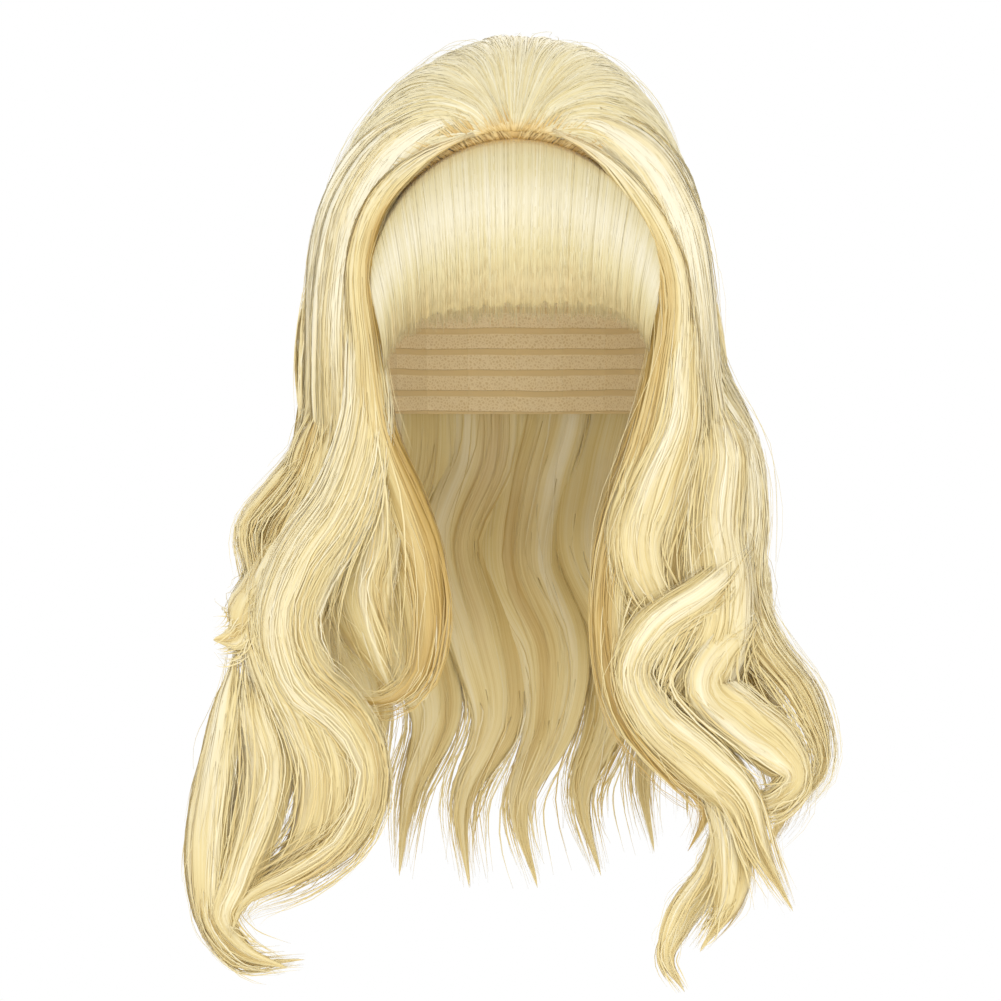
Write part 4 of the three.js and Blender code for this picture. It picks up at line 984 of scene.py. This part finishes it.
def hair_material(name, deep, middle, pale, contrast):
    """Synthetic hair: smooth modacrylic fibre, so a silky gloss in streaks along the combing.

    Fibres lie as wisps about 1 mm wide (real fibres, 0.08 mm, are finer than a pixel), with broader
    clumps of about 7 mm. Deep, middle and pale are the colours of its shaded, plain and lit wisps.
    """
    material, tree = new_material(name)
    uv = node(tree, "UVMap", {"uv_map": "combed"})
    noises, parts = [], []
    for width, length, detail, roughness, weight in HAIR_GRAIN:
        way = node(tree, "Mapping", {}, {"Scale": (1 / width, 1 / length, 1)}, {"Vector": (uv, 0)})
        values = {"Scale": 1.0, "Detail": detail, "Roughness": roughness}
        noises.append(node(tree, "TexNoise", {"noise_dimensions": "2D"}, values, {"Vector": (way, 0)}))
        span = weight * contrast
        values = {1: span, 2: -0.5 * span}
        parts.append(node(tree, "Math", {"operation": "MULTIPLY_ADD"}, values, {0: (noises[-1], 0)}))
    tone = node(tree, "Attribute", {"attribute_name": "tone"})
    both = node(tree, "Math", {"operation": "ADD"}, {}, {0: (parts[0], 0), 1: (parts[1], 0)})
    level = node(tree, "Math", {"operation": "ADD", "use_clamp": True}, {}, {0: (both, 0), 1: (tone, 2)})
    stops = ((0.08, deep), (0.5, middle), (0.9, pale))
    colour = node(tree, "ValToRGB", {}, {}, {0: (level, 0)}, stops)
    golden = node(tree, "ValToRGB", {}, {}, {0: (level, 0)}, ROOT_COLOURS)
    root = node(tree, "Attribute", {"attribute_name": "root"})
    share = node(tree, "Math", {"operation": "MULTIPLY", "use_clamp": True}, {1: 0.9}, {0: (root, 2)})
    tinted = node(tree, "Mix", {"data_type": "RGBA"}, {}, {0: (share, 0), 6: (colour, 0), 7: (golden, 0)})
    relief = {"Strength": 0.3 * contrast, "Distance": 0.4 * MM}
    bump = node(tree, "Bump", {}, relief, {"Height": (noises[0], 0)})
    shader = node(
        tree, "BsdfPrincipled", {},
        {"Roughness": 0.36, "IOR": 1.5, "Sheen Weight": 0.15, "Sheen Roughness": 0.4},
        {"Base Color": (tinted, 2), "Normal": (bump, 0)},
    )
    node(tree, "OutputMaterial", {}, {}, {"Surface": (shader, 0)})
    return material


crown_hair = hair_material("pale_modacrylic_hair", "#c3a561", "#d8c995", "#e6dfc2", contrast=0.55)
fringe_hair = hair_material("straight_modacrylic_hair", "#b5975a", "#cbbd8c", "#dfd7bc", contrast=0.4)
fall_hair = hair_material("waved_modacrylic_hair", "#bb9b53", "#dbc990", "#e8e0c4", contrast=0.62)


def net_material():
    """Stretch net of the cap, matte nylon dyed like the hair, with bands of sewn weft 11 mm apart.

    The bands show as soft darker rows, the net between them as threads with 1.6 mm meshes.
    """
    material, tree = new_material("nylon_cap_net")
    place = node(tree, "TexCoord")
    edges = {"feature": "DISTANCE_TO_EDGE"}
    cells = node(tree, "TexVoronoi", edges, {"Scale": NET_MESHES}, {"Vector": (place, 3)})
    threads = node(tree, "MapRange", {}, {"From Min": 0.0, "From Max": 0.3}, {"Value": (cells, 0)})
    rows = node(
        tree, "TexWave", {"bands_direction": "Z", "wave_profile": "SIN"},
        {"Scale": WEFT_SCALE, "Distortion": 0.5, "Detail": 1.0}, {"Vector": (place, 3)},
    )
    band = node(tree, "MapRange", {}, {"From Min": 0.72, "From Max": 0.86}, {"Value": (rows, 0)})
    net_colours = ((0.0, "#f0e0bc"), (1.0, "#dcc698"))
    net = node(tree, "ValToRGB", {}, {}, {0: (threads, 0)}, net_colours)
    colour = node(
        tree, "Mix", {"data_type": "RGBA"}, {7: linear("#dcc594")}, {0: (band, 0), 6: (net, 0)},
    )
    bump = node(tree, "Bump", {}, {"Strength": 0.5, "Distance": 0.8 * MM}, {"Height": (band, 0)})
    shader = node(
        tree, "BsdfPrincipled", {}, {"Roughness": 0.85, "Sheen Weight": 0.2},
        {"Base Color": (colour, 2), "Normal": (bump, 0)},
    )
    node(tree, "OutputMaterial", {}, {}, {"Surface": (shader, 0)})
    return material


for cad_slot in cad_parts["cap"].material_slots:
    cad_slot.material = net_material()

# The hair, piece by piece
rng = np.random.default_rng(SEED)
crown = Skin()
crown_body(crown)
crown.piece("crown_hair_body", "crown_hair", crown_hair, "crown")
crown_top = Skin()
crown_strands(crown_top, rng, CROWN_STRANDS)
root_strands(crown_top, rng, ROOT_STRANDS)
ridge_strands(crown_top, rng, RIDGE_STRANDS)
loose_crown_hairs(crown_top, rng, LOOSE_CROWN_HAIRS)
crown_top.piece("crown_hair_strands", "crown_hair", crown_hair)

fringe = Skin()
fringe_body(fringe)
fringe_strands(fringe, rng, FRINGE_STRANDS)
fringe.piece("fringe_hair", "fringe_hair", fringe_hair, "fringe")

# Pairs of neighbouring locks that strands run between
BRIDGES = {
    "left": [
        ("temple", "front_wave"), ("front_wave", "mid_wave"), ("front_wave", "inner_wave"),
        ("top_sweep", "front_wave"), ("inner_wave", "low_curl"), ("low_curl", "edge_strand"),
        ("top_sweep", "shadow_wave"), ("outer_sweep", "shadow_wave"), ("shadow_wave", "inner_wave"),
        ("rear_wave", "outer_sweep"), ("shadow_wave", "edge_strand"), ("shadow_wave", "low_curl"),
    ],
    "right": [
        ("temple", "front_wave"), ("temple", "loop"), ("top_sweep", "front_wave"), ("top_sweep", "mid_wave"),
        ("outer_sweep", "mid_wave"), ("mid_wave", "loop"), ("loop", "outer_loop"),
        ("outer_sweep", "outer_loop"), ("loop", "low_tail"), ("low_tail", "low_wisp"),
        ("rear_wave", "outer_sweep"),
    ],
}
along = np.linspace(0, 1, LOCK_STEPS)
for side, table in (("left", LEFT_LOCKS), ("right", RIGHT_LOCKS)):
    body, strands = Skin(), Skin()
    ways = {lock: lock_way(rows) for lock, rows in table.items()}
    for lock, way in ways.items():
        tone = SHADED_LOCK_TONES.get(lock, LOCK_TONE) + 0.08 * np.sin(5 * along)
        dusk, start, root = 0.0, 0.15, 0.0
        if lock in ("top_sweep", "outer_sweep"):
            # Painted light: the sweeps are paler over their upper part, where light from above falls on them.
            tone = tone + 0.16 * ease(along, 0.02, 0.14) * (1 - ease(along, 0.4, 0.65))
        if lock == "temple":
            tone = tone + 0.3 * (1 - ease(along, 0.02, 0.2))
            dusk, start, root = INNER_SHADE[side], 0.04, 0.45
        lock_body(body, way, rng, tone, dusk, start)
        count = int(LOCK_COVER * way.length[-1] * way.wide.mean())
        lock_strands(strands, way, rng, count, tone, root=root)
        count = OUTER_TIP_STRANDS if lock.startswith("outer") else TIP_STRANDS
        tip_strands(strands, way, rng, count, TIP_TONE)
        loose_hairs(strands, way, rng, LOOSE_HAIRS)
    for one, other in BRIDGES[side]:
        bridge_strands(strands, ways[one], ways[other], rng, BRIDGE_STRANDS, BRIDGE_TONE)
    body.piece(f"{side}_fall_locks", "fall_hair", fall_hair, f"{side}_fall")
    strands.piece(f"{side}_fall_strands", "fall_hair", fall_hair)

body, strands = Skin(), Skin()
ways = [back_way(index) for index in range(BACK_LOCKS)]
for way in ways:
    tone = mix(BACK_TOP_TONE, BACK_TONE, ease(along, 0.15, 0.5))
    lock_body(body, way, rng, tone, start=0.6)
    lock_strands(strands, way, rng, BACK_STRANDS, tone, behind=0.38)
    tip_strands(strands, way, rng, BACK_TIP_STRANDS, BACK_TIP_TONE)
    loose_hairs(strands, way, rng, BACK_LOOSE_HAIRS)
for one, other in zip(ways, ways[1:]):
    bridge_strands(strands, one, other, rng, BACK_BRIDGE_STRANDS, BACK_TONE)
curtain_strands(strands, ways, rng, CURTAIN_STRANDS, CURTAIN_TONE)
body.piece("back_fall_locks", "fall_hair", fall_hair, "back_fall")
strands.piece("back_fall_strands", "fall_hair", fall_hair)

# Studio: the floor, soft boxes that face the wig's middle, and a camera far off, all in metres
FLOOR_LEVEL, FLOOR_REACH = -0.64, 0.9
LIT_POINT = (0, 0, -0.18)
SOFT_BOXES = (  # name, place, edge, power in watts
    ("key_softbox", (-0.25, -1.7, 0.95), 1.1, 4),
    ("low_softbox", (0.15, -1.9, -0.55), 1.3, 9),
    ("left_softbox", (-1.6, -0.9, 0.1), 1.2, 6.5),
    ("right_softbox", (1.6, -0.9, 0.1), 1.2, 6),
    ("back_softbox", (0.2, 1.7, 1.0), 1.2, 4),
)
PICTURE_WIDTH = 0.5205  # across the photograph, where the front locks hang
PICTURE_PLANE = -0.05  # how far forward they hang
PICTURE_MIDDLE = (-0.00806, -0.1937)  # across and up
CAMERA_FAR, SENSOR_WIDTH = 9.0, 36  # the sensor's width in millimetres

floor_mesh = bpy.data.meshes.new("studio_floor")
turns = ((-1, -1), (1, -1), (1, 1), (-1, 1))
corners = [(x * FLOOR_REACH, y * FLOOR_REACH, FLOOR_LEVEL) for x, y in turns]
floor_mesh.from_pydata(corners, [], [(0, 1, 2, 3)])
paper, tree = new_material("studio_paper")
matte = node(tree, "BsdfPrincipled", {}, {"Base Color": linear("#f4f2ee"), "Roughness": 0.9})
node(tree, "OutputMaterial", {}, {}, {"Surface": (matte, 0)})
floor_mesh.materials.append(paper)
floor = placed("studio_floor", floor_mesh)

for name, place, edge, power in SOFT_BOXES:
    data = bpy.data.lights.new(name, "AREA")
    data.size, data.energy = edge, power
    lamp = placed(name, data)
    lamp.location = place
    lamp.rotation_mode = "QUATERNION"
    lamp.rotation_quaternion = Vector(np.array(LIT_POINT) - np.array(place)).to_track_quat("-Z", "Y")
world = bpy.data.worlds.new("studio")
bpy.context.scene.world = world
world.use_nodes = True
world.node_tree.nodes["Background"].inputs["Color"].default_value = (1, 1, 1, 1)
world.node_tree.nodes["Background"].inputs["Strength"].default_value = 1.0
bpy.context.scene.view_settings.view_transform = "Standard"

camera_data = bpy.data.cameras.new("camera")
camera_data.sensor_width = SENSOR_WIDTH
camera_data.lens = SENSOR_WIDTH * CAMERA_FAR / PICTURE_WIDTH
camera = placed("camera", camera_data)
camera.location = (PICTURE_MIDDLE[0], PICTURE_PLANE - CAMERA_FAR, PICTURE_MIDDLE[1])
camera.rotation_euler = (math.pi / 2, 0, 0)
bpy.context.scene.camera = camera

bpy.context.view_layer.update()
